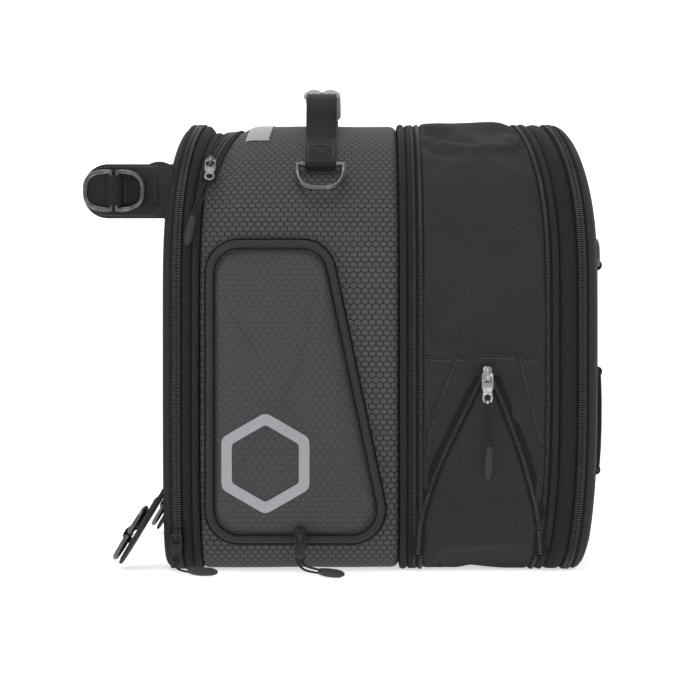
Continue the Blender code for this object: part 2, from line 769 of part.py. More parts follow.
def build_bag():
    clear_scene()
    make_collections()
    body_shell()
    body_lining()
    floor_board()
    seams()
    side_pockets()
    rear_zip()
    handle()
    base_panel()
    mounting_tabs()
    gusset()
    v_zip()
    lid_shell()
    lid_board()
    lid_straps()
    lid_cord()
    sliders()
    set_pivots()
    shade_round()


build_bag()
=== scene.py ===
"""Looks of the tail bag: cloth, zips, webbing, rings, lights and camera.

Metres, in the frame's own axes: X runs from the base to the lid, Y across the bag and Z up.
Most fabric pieces are swept round the bag's D outline from an (x, out) profile, where `out` is
the height above the bag's outer face.
"""

import math

import bmesh
import bpy
from mathutils import Matrix, Vector, noise
from mathutils.bvhtree import BVHTree


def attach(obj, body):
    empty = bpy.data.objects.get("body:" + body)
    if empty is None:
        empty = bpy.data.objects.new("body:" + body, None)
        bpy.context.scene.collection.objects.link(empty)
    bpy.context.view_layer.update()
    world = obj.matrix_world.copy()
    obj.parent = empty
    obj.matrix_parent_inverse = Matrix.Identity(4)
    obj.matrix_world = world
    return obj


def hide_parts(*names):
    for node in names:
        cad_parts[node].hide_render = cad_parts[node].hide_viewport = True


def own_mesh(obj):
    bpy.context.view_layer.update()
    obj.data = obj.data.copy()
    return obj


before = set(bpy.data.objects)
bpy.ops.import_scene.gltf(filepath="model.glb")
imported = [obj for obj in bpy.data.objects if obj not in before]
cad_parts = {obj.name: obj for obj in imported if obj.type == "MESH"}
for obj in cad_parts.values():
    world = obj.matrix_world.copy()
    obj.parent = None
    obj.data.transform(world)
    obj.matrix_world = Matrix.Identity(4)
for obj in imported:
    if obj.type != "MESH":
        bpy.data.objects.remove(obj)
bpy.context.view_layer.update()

# The bag's section across X
HALF = 0.175
DEPTH = 0.362
REAR_R = 0.130
FRONT_R = 0.028
REAR_Y = HALF - REAR_R
REAR_Z = DEPTH - REAR_R
FLOOR = 0.0003
QUARTER = math.pi / 2

# How far seams lean along X at the rear and at the floor, by place along X
LEAN_STOPS = ((-0.1409, 0.012, 0.002), (0.0151, 0.0, 0.0), (0.0339, 0.0, 0.0),
              (0.1291, -0.018, -0.012))

# Places along X
BASE_FACE = -0.1710
BASE_PIPE = -0.1650
BASE_ZIP = (-0.1625, -0.1555)
BASE_COLLAR = (-0.1553, -0.1472)
LOWER_PIPE = -0.1442
SHELL = (-0.1409, 0.0151)
UPPER_PIPE = 0.0184
BAND = (0.0215, 0.0288)
BODY_TEETH = (0.0288, 0.0338)
GUSSET = (0.0339, 0.1291)
LID_TEETH = (0.1292, 0.1342)
COLLAR_PIPE = 0.1373
LID_COLLAR = (0.1404, 0.1543)
LID_ZIP = (0.1545, 0.1626)
LID_EDGE = 0.1628
LID_CROWN = 0.1737
LID_SHOULDER = 0.0097

# Trimmings
PIPE_R = 0.0029
WEBBING = 0.0016
WEBBING_WIDTH = 0.025
TOOTH_PITCH = 0.0018
TOOTH = (0.0027, 0.00052)  # length and radius
STITCH = (0.0034, 0.0025, 0.00028)  # pitch, length and radius
SEAM_STITCH = (0.0034, 0.0025, 0.00026)

# The base's and the lid's panels
LIP_INSET = 0.0120  # from the outline to where a panel's lip ends and its face begins
FACE_INSET = 0.0240
FLAT_SHARE = 0.20  # how far towards the middle the base panel turns flat
RIM_POINTS = 300


# ---- the bag's outline -------------------------------------------------------------------

def make_legs():
    """The outline's lines and arcs: length, start y, start z, heading and radius."""
    flat, side = HALF - FRONT_R, REAR_Z - FRONT_R
    front, rear = QUARTER * FRONT_R, QUARTER * REAR_R
    return ((flat, 0.0, 0.0, 0, 0.0), (front, flat, 0.0, 0, FRONT_R),
            (side, HALF, FRONT_R, 1, 0.0), (rear, HALF, REAR_Z, 1, REAR_R),
            (2 * REAR_Y, REAR_Y, DEPTH, 2, 0.0), (rear, -REAR_Y, DEPTH, 2, REAR_R),
            (side, -HALF, REAR_Z, 3, 0.0), (front, -HALF, FRONT_R, 3, FRONT_R),
            (flat, -flat, 0.0, 4, 0.0))


LEGS = make_legs()
PERIMETER = sum(leg[0] for leg in LEGS)


def station(s):
    """The outline's point and outward normal at arc length s from the middle of the floor."""
    s %= PERIMETER
    for length, y, z, turns, radius in LEGS:
        if s <= length:
            break
        s -= length
    a = turns * QUARTER
    if radius:
        b = a + s / radius
        return (y + radius * (math.sin(b) - math.sin(a)), z + radius * (math.cos(a) - math.cos(b)),
                math.sin(b), -math.cos(b))
    return y + s * math.cos(a), z + s * math.sin(a), math.sin(a), -math.cos(a)


def side_s(z, side):
    """The arc length at height z on a flat side: -1 is near, 1 is far."""
    run = sum(leg[0] for leg in LEGS[:2]) + z - FRONT_R
    return run if side > 0 else PERIMETER - run


def rear_s(angle, side):
    """The arc length at an angle in degrees above the horizontal on a rear corner."""
    run = sum(leg[0] for leg in LEGS[:3]) + math.radians(angle) * REAR_R
    return run if side > 0 else PERIMETER - run


def ease(value, low, high):
    """0 below low, 1 above high, and smooth between."""
    t = min(max((value - low) / (high - low), 0.0), 1.0)
    return t * t * (3 - 2 * t)


def lean(x, z):
    """How far the cloth at x leans along X at height z."""
    u = (z - DEPTH / 2) / (DEPTH / 2)
    pick = 1 if u > 0 else 2
    amount = LEAN_STOPS[0][pick] if x < LEAN_STOPS[0][0] else LEAN_STOPS[-1][pick]
    for low, high in zip(LEAN_STOPS, LEAN_STOPS[1:]):
        if low[0] <= x <= high[0]:
            t = (x - low[0]) / (high[0] - low[0])
            amount = low[pick] * (1 - t) + high[pick] * t
    return amount * u ** 4


def waist(x, nz):
    """The dip in the rear between the base and the body."""
    dip = ease(x, -0.1550, -0.1450) * (1 - ease(x, -0.1320, -0.1080))
    return 0.0072 * dip * max(nz, 0.0) ** 2


def at(x, s, out=0.0):
    """The point at x and arc length s, `out` from the bag's face."""
    y, z, ny, nz = station(s)
    out -= waist(x, nz)
    return Vector((x + lean(x, z), y + ny * out, max(z + nz * out, FLOOR)))


def normal(s):
    return Vector((0, *station(s)[2:]))


# ---- meshes ------------------------------------------------------------------------------

def put(thing, material, body, replaces=()):
    """Give a piece its material, its body and the CAD nodes it stands for."""
    if material:
        thing.data.materials.clear()
        thing.data.materials.append(material)
    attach(thing, body)
    if replaces:
        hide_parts(*replaces)
    return thing


def make(name, points, faces, uvs=None, sharp=50):
    """A welded mesh object with one UV pair in metres for each point."""
    data = bpy.data.meshes.new(name)
    data.from_pydata(points, [], faces)
    if uvs:
        layer = data.uv_layers.new(name="UVMap")
        for loop in data.loops:
            layer.data[loop.index].uv = uvs[loop.vertex_index]
    weld = bmesh.new()
    weld.from_mesh(data)
    bmesh.ops.remove_doubles(weld, verts=weld.verts, dist=0.00002)
    loose = [edge for edge in weld.edges if not edge.link_faces]
    bmesh.ops.delete(weld, geom=loose, context="EDGES")
    weld.to_mesh(data)
    weld.free()
    data.polygons.foreach_set("use_smooth", [True] * len(data.polygons))
    data.set_sharp_from_angle(angle=math.radians(sharp))
    thing = bpy.data.objects.new(name, data)
    bpy.context.scene.collection.objects.link(thing)
    return thing


def grid_faces(rows, columns, wrap=False):
    """Quads of a grid stored row by row; wrap joins each row's last point to its first."""
    faces = []
    for r in range(rows - 1):
        for c in range(columns if wrap else columns - 1):
            d = (c + 1) % columns
            faces.append((r * columns + c, (r + 1) * columns + c,
                          (r + 1) * columns + d, r * columns + d))
    return faces


def sweep(name, profile, closed=True, step=0.004, span=(0.0, None), soft=None):
    """A band round the bag from an (x, out) profile, with UVs (along, across) in metres."""
    start, end = span[0], PERIMETER if span[1] is None else span[1]
    count = max(2, round((end - start) / step))
    across = [0.0]
    for a, b in zip(profile, profile[1:]):
        across.append(across[-1] + math.dist(a, b))
    points, uvs = [], []
    for k in range(count + 1):
        s = start + (end - start) * k / count
        for (x, out), v in zip(profile, across):
            extra = soft(x, s) if soft else 0.0
            points.append(at(x, s, out + extra))
            uvs.append((s, profile[0][0] + v))
    faces = grid_faces(count + 1, len(profile), wrap=closed)
    if closed and span[1] is not None:
        last = count * len(profile)
        faces.append(tuple(range(len(profile))))
        faces.append(tuple(last + i for i in reversed(range(len(profile)))))
    return make(name, points, faces, uvs)


def roll(x0, x1, crown=0.0, drop=0.0016, depth=0.0034, steps=8):
    """A strip's profile: proud by crown in the middle, its edges rolled down by drop."""
    outer = []
    for k in range(steps + 1):
        t = (1 - math.cos(math.pi * k / steps)) / 2
        rise = math.sin(math.pi * t) ** 0.6
        outer.append((x0 + (x1 - x0) * t, (crown + drop) * rise - drop))
    return outer + [(x1, -depth), (x0, -depth)]


def bead(x, radius, rise):
    """A round profile whose top stands proud by rise."""
    return [(x - radius * math.cos(a), rise - radius + radius * math.sin(a))
            for a in (2 * math.pi * k / 14 for k in range(14))]


def curve_through(route, steps):
    """Points on a smooth curve through the route's own points."""
    route = [Vector(p) for p in route]
    ends = [2 * route[0] - route[1]] + route + [2 * route[-1] - route[-2]]
    line = []
    for p, a, b, q in zip(ends, ends[1:], ends[2:], ends[3:]):
        for k in range(steps):
            t = k / steps
            line.append(0.5 * (2 * a + (b - p) * t + (2 * p - 5 * a + 4 * b - q) * t ** 2
                               + (3 * a - p - 3 * b + q) * t ** 3))
    return line + [route[-1]]


def lengths(line):
    """The running length at each point of a line."""
    run = [0.0]
    for a, b in zip(line, line[1:]):
        run.append(run[-1] + (b - a).length)
    return run


def tangents(line, closed=False):
    last = len(line) - 1
    found = []
    for k in range(len(line)):
        before = line[k - 1] if closed else line[max(k - 1, 0)]
        after = line[(k + 1) % len(line)] if closed else line[min(k + 1, last)]
        found.append((after - before).normalized())
    return found


def cross_sections(name, points, uvs, rows, sides, closed, flip=False):
    """A mesh from loops of points along a line, its ends capped, or joined when closed."""
    if closed:
        points += points[:sides]
        uvs += uvs[:sides]
        rows += 1
    faces = grid_faces(rows, sides, wrap=True)
    if flip:
        faces = [face[::-1] for face in faces]
    if not closed:
        faces += [tuple(range(sides)), tuple((rows - 1) * sides + i
                                             for i in reversed(range(sides)))]
    return make(name, points, faces, uvs)


def tube(name, line, radius, out, closed=False, flat=1.0, sides=10):
    """A round or flattened cord along a line; radius may give one value for each point."""
    radii = radius if isinstance(radius, list) else [radius] * len(line)
    run = lengths(line)
    points, uvs = [], []
    for k, (point, along) in enumerate(zip(line, tangents(line, closed))):
        facing = out[k] if isinstance(out, list) else out
        across = along.cross(facing).normalized()
        up = across.cross(along)
        for i in range(sides):
            a = 2 * math.pi * i / sides
            points.append(point + across * radii[k] * math.cos(a)
                          + up * radii[k] * flat * math.sin(a))
            uvs.append((run[k], radii[k] * a))
    return cross_sections(name, points, uvs, len(line), sides, closed, flip=True)


def strap(name, line, across, width, thickness, closed=False):
    """Webbing along a line: flat, with rounded edges; UVs (along, across) in metres."""
    across = Vector(across).normalized()
    edge = thickness / 2
    half = width / 2
    shape = [(-half + edge, -edge)] + [(half * t, -edge) for t in (-0.5, 0.0, 0.5)]
    shape += [(half - edge, -edge), (half, 0.0), (half - edge, edge)]
    shape += [(half * t, edge) for t in (0.5, 0.0, -0.5)] + [(-half + edge, edge), (-half, 0.0)]
    run = lengths(line)
    points, uvs = [], []
    for point, along, s in zip(line, tangents(line, closed), run):
        up = along.cross(across).normalized()
        for a, b in shape:
            points.append(point + across * a + up * b)
            uvs.append((s, a))
    return cross_sections(name, points, uvs, len(line), len(shape), closed)


def slab(name, outlines, thickness, place, round_edge=0.0004, steps=2):
    """A flat piece with rounded edges: an outline and any holes in the place's XY plane."""
    data = bpy.data.curves.new(name, "CURVE")
    data.dimensions = "2D"
    data.fill_mode = "BOTH"
    data.extrude = thickness / 2 - round_edge
    data.bevel_depth = round_edge
    data.bevel_resolution = steps
    data.offset = -round_edge
    for outline in outlines:
        line = data.splines.new("POLY")
        line.points.add(len(outline) - 1)
        for k, point in enumerate(outline):
            line.points[k].co = (point[0], point[1], 0.0, 1.0)
        line.use_cyclic_u = True
    drawn = bpy.data.objects.new(name + "_curve", data)
    bpy.context.scene.collection.objects.link(drawn)
    bpy.context.view_layer.update()
    flat = bpy.data.meshes.new_from_object(drawn.evaluated_get(
        bpy.context.evaluated_depsgraph_get()))
    bpy.data.objects.remove(drawn)
    uvs = [(v.co.x, v.co.y) for v in flat.vertices]
    points = [place @ v.co for v in flat.vertices]
    return make(name, points, [tuple(p.vertices) for p in flat.polygons], uvs, sharp=40)


def bars(name, line, outs, pitch, length, radius, turn=0.0, offset=0.0, lift=0.0, closed=False):
    """Small bars at even steps along a line: zip teeth or stitches."""
    if closed:
        line, outs = line + line[:1], outs + outs[:1]
    run = lengths(line)
    points, faces = [], []
    k = 0
    for n in range(int(run[-1] / pitch)):
        s = (n + 0.5) * pitch
        while run[k + 1] < s:
            k += 1
        t = (s - run[k]) / (run[k + 1] - run[k])
        along = (line[k + 1] - line[k]).normalized()
        out = outs[k].lerp(outs[k + 1], t).normalized()
        side = along.cross(out).normalized()
        middle = line[k].lerp(line[k + 1], t) + side * offset + out * lift
        axis = along * math.cos(turn) + side * math.sin(turn)
        wide = axis.cross(out).normalized()
        first = len(points)
        for end in (-1, 1):
            for a, b in ((1, 0), (0, 1), (-1, 0), (0, -1)):
                points.append(middle + axis * end * (length / 2 - radius * 0.3)
                              + wide * a * radius + out * b * radius)
        for i in range(4):
            j = (i + 1) % 4
            faces.append((first + i, first + j, first + 4 + j, first + 4 + i))
        for end in (-1, 1):
            tip = len(points)
            points.append(middle + axis * end * length / 2)
            base = first if end < 0 else first + 4
            for i in range(4):
                j = (i + 1) % 4
                faces.append((base + j, base + i, tip) if end < 0 else (base + i, base + j, tip))
    return make(name, points, faces)


def band_line(x, out, span=(0.0, None), step=0.003):
    """A line round the bag at x, with its outward directions."""
    start, end = span[0], PERIMETER if span[1] is None else span[1]
    count = round((end - start) / step)
    stations = [start + (end - start) * k / count for k in range(count + 1)]
    if span[1] is None:
        stations.pop()
    return [at(x, s, out) for s in stations], [normal(s) for s in stations]


def fillet(corners, radius, steps=8):
    """A flat outline with each corner rounded."""
    outline = []
    for k, corner in enumerate(corners):
        here = Vector(corner)
        back = (Vector(corners[k - 1]) - here).normalized()
        ahead = (Vector(corners[(k + 1) % len(corners)]) - here).normalized()
        half = back.angle(ahead) / 2
        centre = here + (back + ahead).normalized() * radius / math.sin(half)
        start = here + back * radius / math.tan(half) - centre
        end = here + ahead * radius / math.tan(half) - centre
        for s in range(steps + 1):
            outline.append(centre + start.lerp(end, s / steps).normalized() * radius)
    return outline


def grown(outline, distance):
    """An anticlockwise outline moved outward by a distance."""
    moved = []
    for k, point in enumerate(outline):
        along = outline[(k + 1) % len(outline)] - outline[k - 1]
        moved.append(point + Vector((along.y, -along.x)).normalized() * distance)
    return moved


def even(outline, step):
    """A closed flat outline resampled at even steps."""
    closed = outline + outline[:1]
    run = lengths(closed)
    count = round(run[-1] / step)
    found, k = [], 0
    for n in range(count):
        s = run[-1] * n / count
        while run[k + 1] < s:
            k += 1
        found.append(closed[k].lerp(closed[k + 1], (s - run[k]) / (run[k + 1] - run[k])))
    return found


def axes(origin, right, up, out):
    """A placing matrix from an origin and three directions."""
    turn = Matrix((Vector(right), Vector(up), Vector(out))).transposed().to_4x4()
    return Matrix.Translation(origin) @ turn


def joined(name, things):
    """Several meshes as one piece."""
    build = bmesh.new()
    for thing in things:
        build.from_mesh(thing.data)
    data = bpy.data.meshes.new(name)
    build.to_mesh(data)
    build.free()
    for thing in things:
        bpy.data.objects.remove(thing)
    whole = bpy.data.objects.new(name, data)
    bpy.context.scene.collection.objects.link(whole)
    return whole


# ---- materials ---------------------------------------------------------------------------

def wire(tree, kind, inputs=None, **settings):
    """A shader node; an input given as a socket is linked, any other is a value."""
    made = tree.nodes.new("ShaderNode" + kind)
    for key, value in settings.items():
        setattr(made, key, value)
    for key, value in (inputs or {}).items():
        if isinstance(value, bpy.types.NodeSocket):
            tree.links.new(value, made.inputs[key])
        else:
            made.inputs[key].default_value = value
    return made


def sum_of(tree, operation, a, b=0.0, c=0.0):
    return wire(tree, "Math", {0: a, 1: b, 2: c}, operation=operation).outputs[0]


def vector_of(tree, operation, a, b=(0, 0, 0), c=(0, 0, 0)):
    return wire(tree, "VectorMath", {0: a, 1: b, 2: c}, operation=operation).outputs[0]


def ramp(tree, value, low, high, start=0.0, end=1.0):
    made = wire(tree, "MapRange", {0: value, 1: low, 2: high, 3: start, 4: end},
                interpolation_type="SMOOTHSTEP")
    return made.outputs[0]


def mixed(tree, share, a, b):
    made = wire(tree, "Mix", {0: share, 6: a, 7: b}, data_type="RGBA")
    return made.outputs[2]


def grey(value, blue=0.0):
    return (value, value * 0.985, value * (1.0 + blue), 1.0)


def new_material(name, roughness, **sockets):
    """A Principled material with its constant sockets set."""
    material = bpy.data.materials.new(name)
    material.use_nodes = True
    shader = material.node_tree.nodes["Principled BSDF"]
    shader.inputs["Roughness"].default_value = roughness
    for key, value in sockets.items():
        shader.inputs[key.replace("_", " ")].default_value = value
    return material, material.node_tree, shader


def surface(tree, shader, colour, height, distance, rough=None):
    """Link a colour, a bump height and a roughness to the shader."""
    tree.links.new(colour, shader.inputs["Base Color"])
    bump = wire(tree, "Bump", {"Strength": 1.0, "Distance": distance, "Height": height})
    tree.links.new(bump.outputs[0], shader.inputs["Normal"])
    if rough is not None:
        tree.links.new(rough, shader.inputs["Roughness"])


def metres(tree, by_uv):
    """Texture coordinates in metres: along the cloth, or the piece's own."""
    made = wire(tree, "TexCoord")
    return made.outputs["UV" if by_uv else "Object"]


def speckle(tree, where, scale, detail=2.0):
    """Fine noise from 0 to 1."""
    return wire(tree, "TexNoise", {"Vector": where, "Scale": scale, "Detail": detail}).outputs[0]


def ripples(tree, value, pitch):
    """A sine from 0 to 1 along a length in metres."""
    turned = sum_of(tree, "MULTIPLY", value, 2 * math.pi / pitch)
    return sum_of(tree, "MULTIPLY_ADD", sum_of(tree, "SINE", turned), 0.5, 0.5)


def parted(tree, where):
    made = wire(tree, "SeparateXYZ", {0: where})
    return made.outputs


HEX_WIDTH = 0.0058
HEX_SQUASH = 1.225


def hex_edge(tree, across, along):
    """0 at the middle of each hexagon and 1 at its edge; across is the way its flats face."""
    p = wire(tree, "CombineXYZ", {
        0: sum_of(tree, "MULTIPLY", across, 1 / HEX_WIDTH),
        1: sum_of(tree, "MULTIPLY", along, HEX_SQUASH / HEX_WIDTH)}).outputs[0]
    half = (0.5, 3 ** 0.5 / 2, 1.0)
    nearest = []
    for shift in ((0, 0, 0), half):
        moved = vector_of(tree, "ADD", p, shift)
        cell = vector_of(tree, "WRAP", moved, half, tuple(-h for h in half))
        flat = vector_of(tree, "ABSOLUTE", cell)
        x, y = parted(tree, flat)[:2]
        slant = sum_of(tree, "MULTIPLY_ADD", y, 3 ** 0.5 / 2, sum_of(tree, "MULTIPLY", x, 0.5))
        nearest.append(sum_of(tree, "MAXIMUM", x, slant))
    return sum_of(tree, "MULTIPLY", sum_of(tree, "MINIMUM", *nearest), 2.0)


def hex_cloth(name, fill, line, by_uv, line_from=0.80):
    """Honeycomb ripstop: lighter cells in a dark grid, each cell slightly raised."""
    material, tree, shader = new_material(name, 0.62, Sheen_Weight=0.03, Sheen_Roughness=0.4,
                                          Specular_IOR_Level=0.22)
    where = metres(tree, by_uv)
    x, y, z = parted(tree, where)
    edge = hex_edge(tree, y, x) if by_uv else hex_edge(tree, x, z)
    mask = ramp(tree, edge, line_from, line_from + 0.13)
    fine = speckle(tree, where, 2200.0)
    broad = speckle(tree, where, 18.0)
    cell = mixed(tree, ramp(tree, fine, 0.3, 0.7), grey(fill * 0.82, 0.02), grey(fill * 1.2, 0.02))
    cell = mixed(tree, sum_of(tree, "MULTIPLY", broad, 0.25), cell, grey(fill * 0.7))
    colour = mixed(tree, mask, cell, grey(line))
    dome = sum_of(tree, "SUBTRACT", 1.0, sum_of(tree, "POWER", edge, 5.0))
    height = sum_of(tree, "MULTIPLY_ADD", fine, 0.12, dome)
    rough = ramp(tree, fine, 0.2, 0.8, 0.55, 0.72)
    surface(tree, shader, colour, height, 0.0005, rough)
    return material


def cloth(name, fill, by_uv=True, pitch=0.0007, depth=0.00012):
    """Plain woven polyester: fine yarns over and under, with soft mottling."""
    material, tree, shader = new_material(name, 0.8, Sheen_Weight=0.03, Sheen_Roughness=0.5,
                                          Specular_IOR_Level=0.18)
    where = metres(tree, by_uv)
    x, y, z = parted(tree, where)
    second = y if by_uv else z
    first = ripples(tree, x, pitch)
    yarn = sum_of(tree, "ABSOLUTE", sum_of(tree, "SUBTRACT", first, ripples(tree, second, pitch)))
    mottle = speckle(tree, where, 650.0, 3.0)
    broad = speckle(tree, where, 14.0)
    base = mixed(tree, ramp(tree, mottle, 0.35, 0.68), grey(fill * 0.75), grey(fill * 1.35))
    colour = mixed(tree, sum_of(tree, "MULTIPLY", broad, 0.3), base, grey(fill * 0.65))
    height = sum_of(tree, "MULTIPLY_ADD", mottle, 0.9, yarn)
    surface(tree, shader, colour, height, depth, ramp(tree, mottle, 0.2, 0.8, 0.72, 0.88))
    return material


def webbing(name, fill):
    """Ribbed webbing: slanted ribs along the strap."""
    material, tree, shader = new_material(name, 0.6, Sheen_Weight=0.02, Specular_IOR_Level=0.22)
    where = metres(tree, True)
    along, across = parted(tree, where)[:2]
    skew = sum_of(tree, "MULTIPLY_ADD", across, 0.35, along)
    ribs = ripples(tree, skew, 0.0016)
    yarns = ripples(tree, across, 0.0011)
    weave = sum_of(tree, "MULTIPLY", ribs, yarns)
    fine = speckle(tree, where, 1500.0)
    base = mixed(tree, weave, grey(fill * 0.7), grey(fill * 1.3))
    colour = mixed(tree, ramp(tree, fine, 0.4, 0.8, 0.0, 0.4), base, grey(fill * 1.6))
    surface(tree, shader, colour, weave, 0.00025, ramp(tree, fine, 0.2, 0.8, 0.5, 0.7))
    return material


def grained(name, fill, scale, depth, roughness, specular=0.4):
    """Leather-like or moulded skin: small cells with creases between them."""
    material, tree, shader = new_material(name, roughness, Specular_IOR_Level=specular)
    where = metres(tree, False)
    cells = wire(tree, "TexVoronoi", {"Vector": where, "Scale": scale}).outputs[0]
    fine = speckle(tree, where, scale * 2.3, 4.0)
    colour = mixed(tree, ramp(tree, fine, 0.3, 0.75), grey(fill * 0.7), grey(fill * 1.5))
    height = sum_of(tree, "MULTIPLY_ADD", fine, 0.5, cells)
    rough = ramp(tree, fine, 0.2, 0.8, roughness - 0.08, roughness + 0.1)
    surface(tree, shader, colour, height, depth, rough)
    return material


def metal(name, fill, roughness, wear=0.35):
    """Plated metal: fine brushing, with brighter rubbed patches."""
    material, tree, shader = new_material(name, roughness, Metallic=0.92)
    where = metres(tree, False)
    fine = speckle(tree, where, 900.0, 3.0)
    broad = speckle(tree, where, 160.0)
    rubbed = ramp(tree, broad, 0.45, 0.7, 0.0, wear)
    colour = mixed(tree, rubbed, grey(fill, 0.01), grey(fill * 2.2))
    surface(tree, shader, colour, fine, 0.00003, ramp(tree, fine, 0.2, 0.8, roughness - 0.06,
                                                      roughness + 0.1))
    return material


def reflective(name):
    """Grey reflective film with its fine ribbed backing."""
    material, tree, shader = new_material(name, 0.42, Metallic=0.35)
    where = metres(tree, False)
    x, _, z = parted(tree, where)
    rib = ripples(tree, sum_of(tree, "ADD", x, z), 0.0009)
    fine = speckle(tree, where, 900.0)
    colour = mixed(tree, sum_of(tree, "MULTIPLY", fine, rib), (0.30, 0.31, 0.335, 1.0),
                   (0.42, 0.43, 0.46, 1.0))
    surface(tree, shader, colour, rib, 0.00004)
    return material


def plastic(name, fill, roughness):
    """Nylon zip coil and thread: smooth, with a slight change from tooth to tooth."""
    material, tree, shader = new_material(name, roughness, Specular_IOR_Level=0.55)
    where = metres(tree, False)
    patch = speckle(tree, where, 420.0, 1.0)
    colour = mixed(tree, patch, grey(fill * 0.6), grey(fill * 1.5))
    surface(tree, shader, colour, patch, 0.00003, ramp(tree, patch, 0.2, 0.8, roughness - 0.1,
                                                       roughness + 0.1))
    return material


def make_materials():
    return {
        "hex": hex_cloth("hex_cloth_weave", 0.074, 0.011, True),
        "pocket": hex_cloth("pocket_weave", 0.060, 0.045, False, 0.88),
        "welt": cloth("pocket_welt_weave", 0.040, pitch=0.0006),
        "plain": cloth("plain_weave", 0.031),
        "plain_solid": cloth("plain_weave_solid", 0.034, by_uv=False),
        "trim": cloth("trim_weave", 0.018),
        "lining": cloth("lining_weave", 0.014, pitch=0.0005),
        "tape": cloth("zip_tape", 0.013, pitch=0.0005, depth=0.0001),
        "cord": cloth("piping_weave", 0.022, pitch=0.0006, depth=0.0001),
        "strap": webbing("webbing_weave", 0.012),
        "suede": grained("tab_leather", 0.022, 1500.0, 0.00012, 0.7, 0.25),
        "rubber": grained("grip_rubber", 0.030, 900.0, 0.00005, 0.55, 0.3),
        "sleeve": grained("sleeve_rubber", 0.300, 1100.0, 0.00006, 0.6, 0.4),
        "base": grained("base_vinyl", 0.018, 700.0, 0.00015, 0.65, 0.25),
        "gun": metal("gunmetal", 0.105, 0.30, 0.5),
        "bright": metal("bright_zinc", 0.34, 0.26, 0.6),
        "black": metal("black_nickel", 0.030, 0.34),
        "coil": plastic("zip_coil", 0.045, 0.38),
        "thread": plastic("thread", 0.085, 0.6),
        "film": reflective("reflective_film"),
    }


SKIN = make_materials()


# ---- stage -------------------------------------------------------------------------------

LIT = Vector((0.0, 0.0, 0.18))
CAMERA_AT = (-0.0234, -1.675, 0.173)
LENS = 98.9


def make_camera():
    """A level camera square to the near side."""
    data = bpy.data.cameras.new("camera")
    data.lens = LENS
    data.sensor_width = 36.0
    eye = bpy.data.objects.new("camera", data)
    eye.location = CAMERA_AT
    eye.rotation_euler = (QUARTER, 0, 0)
    bpy.context.scene.collection.objects.link(eye)
    bpy.context.scene.camera = eye


def make_floor():
    """A pale floor that turns up into a backdrop."""
    back, bend, front, half, height = 3.0, 1.2, -14.0, 18.0, 7.0
    path = [(front, 0.0), (back - bend, 0.0)]
    path += [(back - bend + bend * math.sin(a), bend - bend * math.cos(a))
             for a in (QUARTER * k / 12 for k in range(1, 13))]
    path.append((back, height))
    points = [Vector((side * half, y, z)) for y, z in path for side in (-1, 1)]
    floor = make("floor", points, [face[::-1] for face in grid_faces(len(path), 2)])
    material, tree, shader = new_material("paper", 0.9, Specular_IOR_Level=0.1)
    shade = speckle(tree, metres(tree, False), 2.0)
    tree.links.new(mixed(tree, shade, (0.88, 0.88, 0.88, 1), (0.90, 0.90, 0.90, 1)),
                   shader.inputs["Base Color"])
    shader.inputs["Emission Color"].default_value = (1, 1, 1, 1)
    shader.inputs["Emission Strength"].default_value = 0.60
    floor.data.materials.append(material)


def area_light(name, place, size, power):
    """A soft lamp that looks at the bag's middle."""
    data = bpy.data.lights.new(name, "AREA")
    data.shape = "RECTANGLE"
    data.size, data.size_y = size
    data.energy = power
    lamp = bpy.data.objects.new(name, data)
    lamp.location = place
    lamp.rotation_euler = (LIT - Vector(place)).to_track_quat("-Z", "Y").to_euler()
    bpy.context.scene.collection.objects.link(lamp)


def make_lights():
    """An even white sky and four large lamps."""
    world = bpy.data.worlds.new("studio")
    world.use_nodes = True
    sky = world.node_tree.nodes["Background"]
    sky.inputs["Color"].default_value = (1, 1, 1, 1)
    sky.inputs["Strength"].default_value = 0.30
    bpy.context.scene.world = world
    bpy.context.scene.view_settings.view_transform = "Standard"
    for lamp in (("key", (-0.4, -0.6, 2.2), (1.8, 1.4), 22),
                 ("front", (0.5, -3.2, 1.5), (2.4, 1.6), 15),
                 ("side", (-2.2, -1.2, 0.9), (1.0, 1.6), 7),
                 ("rim", (1.8, 1.2, 1.6), (1.2, 1.2), 7)):
        area_light(*lamp)


# ---- bands round the bag -----------------------------------------------------------------

def gentle(x, s):
    """Slow unevenness of padded cloth, always inward."""
    depth = 0.0007
    a = s * 2 * math.pi / PERIMETER
    where = Vector((x * 22, math.cos(a) * 4.5, math.sin(a) * 4.5))
    return -depth + depth * noise.noise(where)


def stitched_line(name, x, out, body):
    """A row of stitches round the bag."""
    line, outs = band_line(x, out)
    put(bars(name, line, outs, *STITCH, closed=True), SKIN["thread"], body)


def zip_band(name, span, body, node, columns):
    """A zip tape round the bag with columns of coil teeth."""
    tape = sweep(name + "_tape", roll(span[0], span[1], -0.0002, 0.0006, 0.0030))
    put(tape, SKIN["tape"], body, [node])
    for k, x in enumerate(columns):
        line, outs = band_line(x, 0.0002)
        turn = math.radians(80 if k % 2 else 100)
        coil = bars(f"{name}_coil_{k}", line, outs, TOOTH_PITCH, *TOOTH, turn, lift=0.0003,
                    closed=True)
        put(coil, SKIN["coil"], body)


def piping(name, x, body, radius=PIPE_R, rise=0.0013):
    """A covered cord round the bag."""
    thing = sweep(name + "_cord", bead(x, radius, rise))
    put(thing, SKIN["cord"], body, [name])


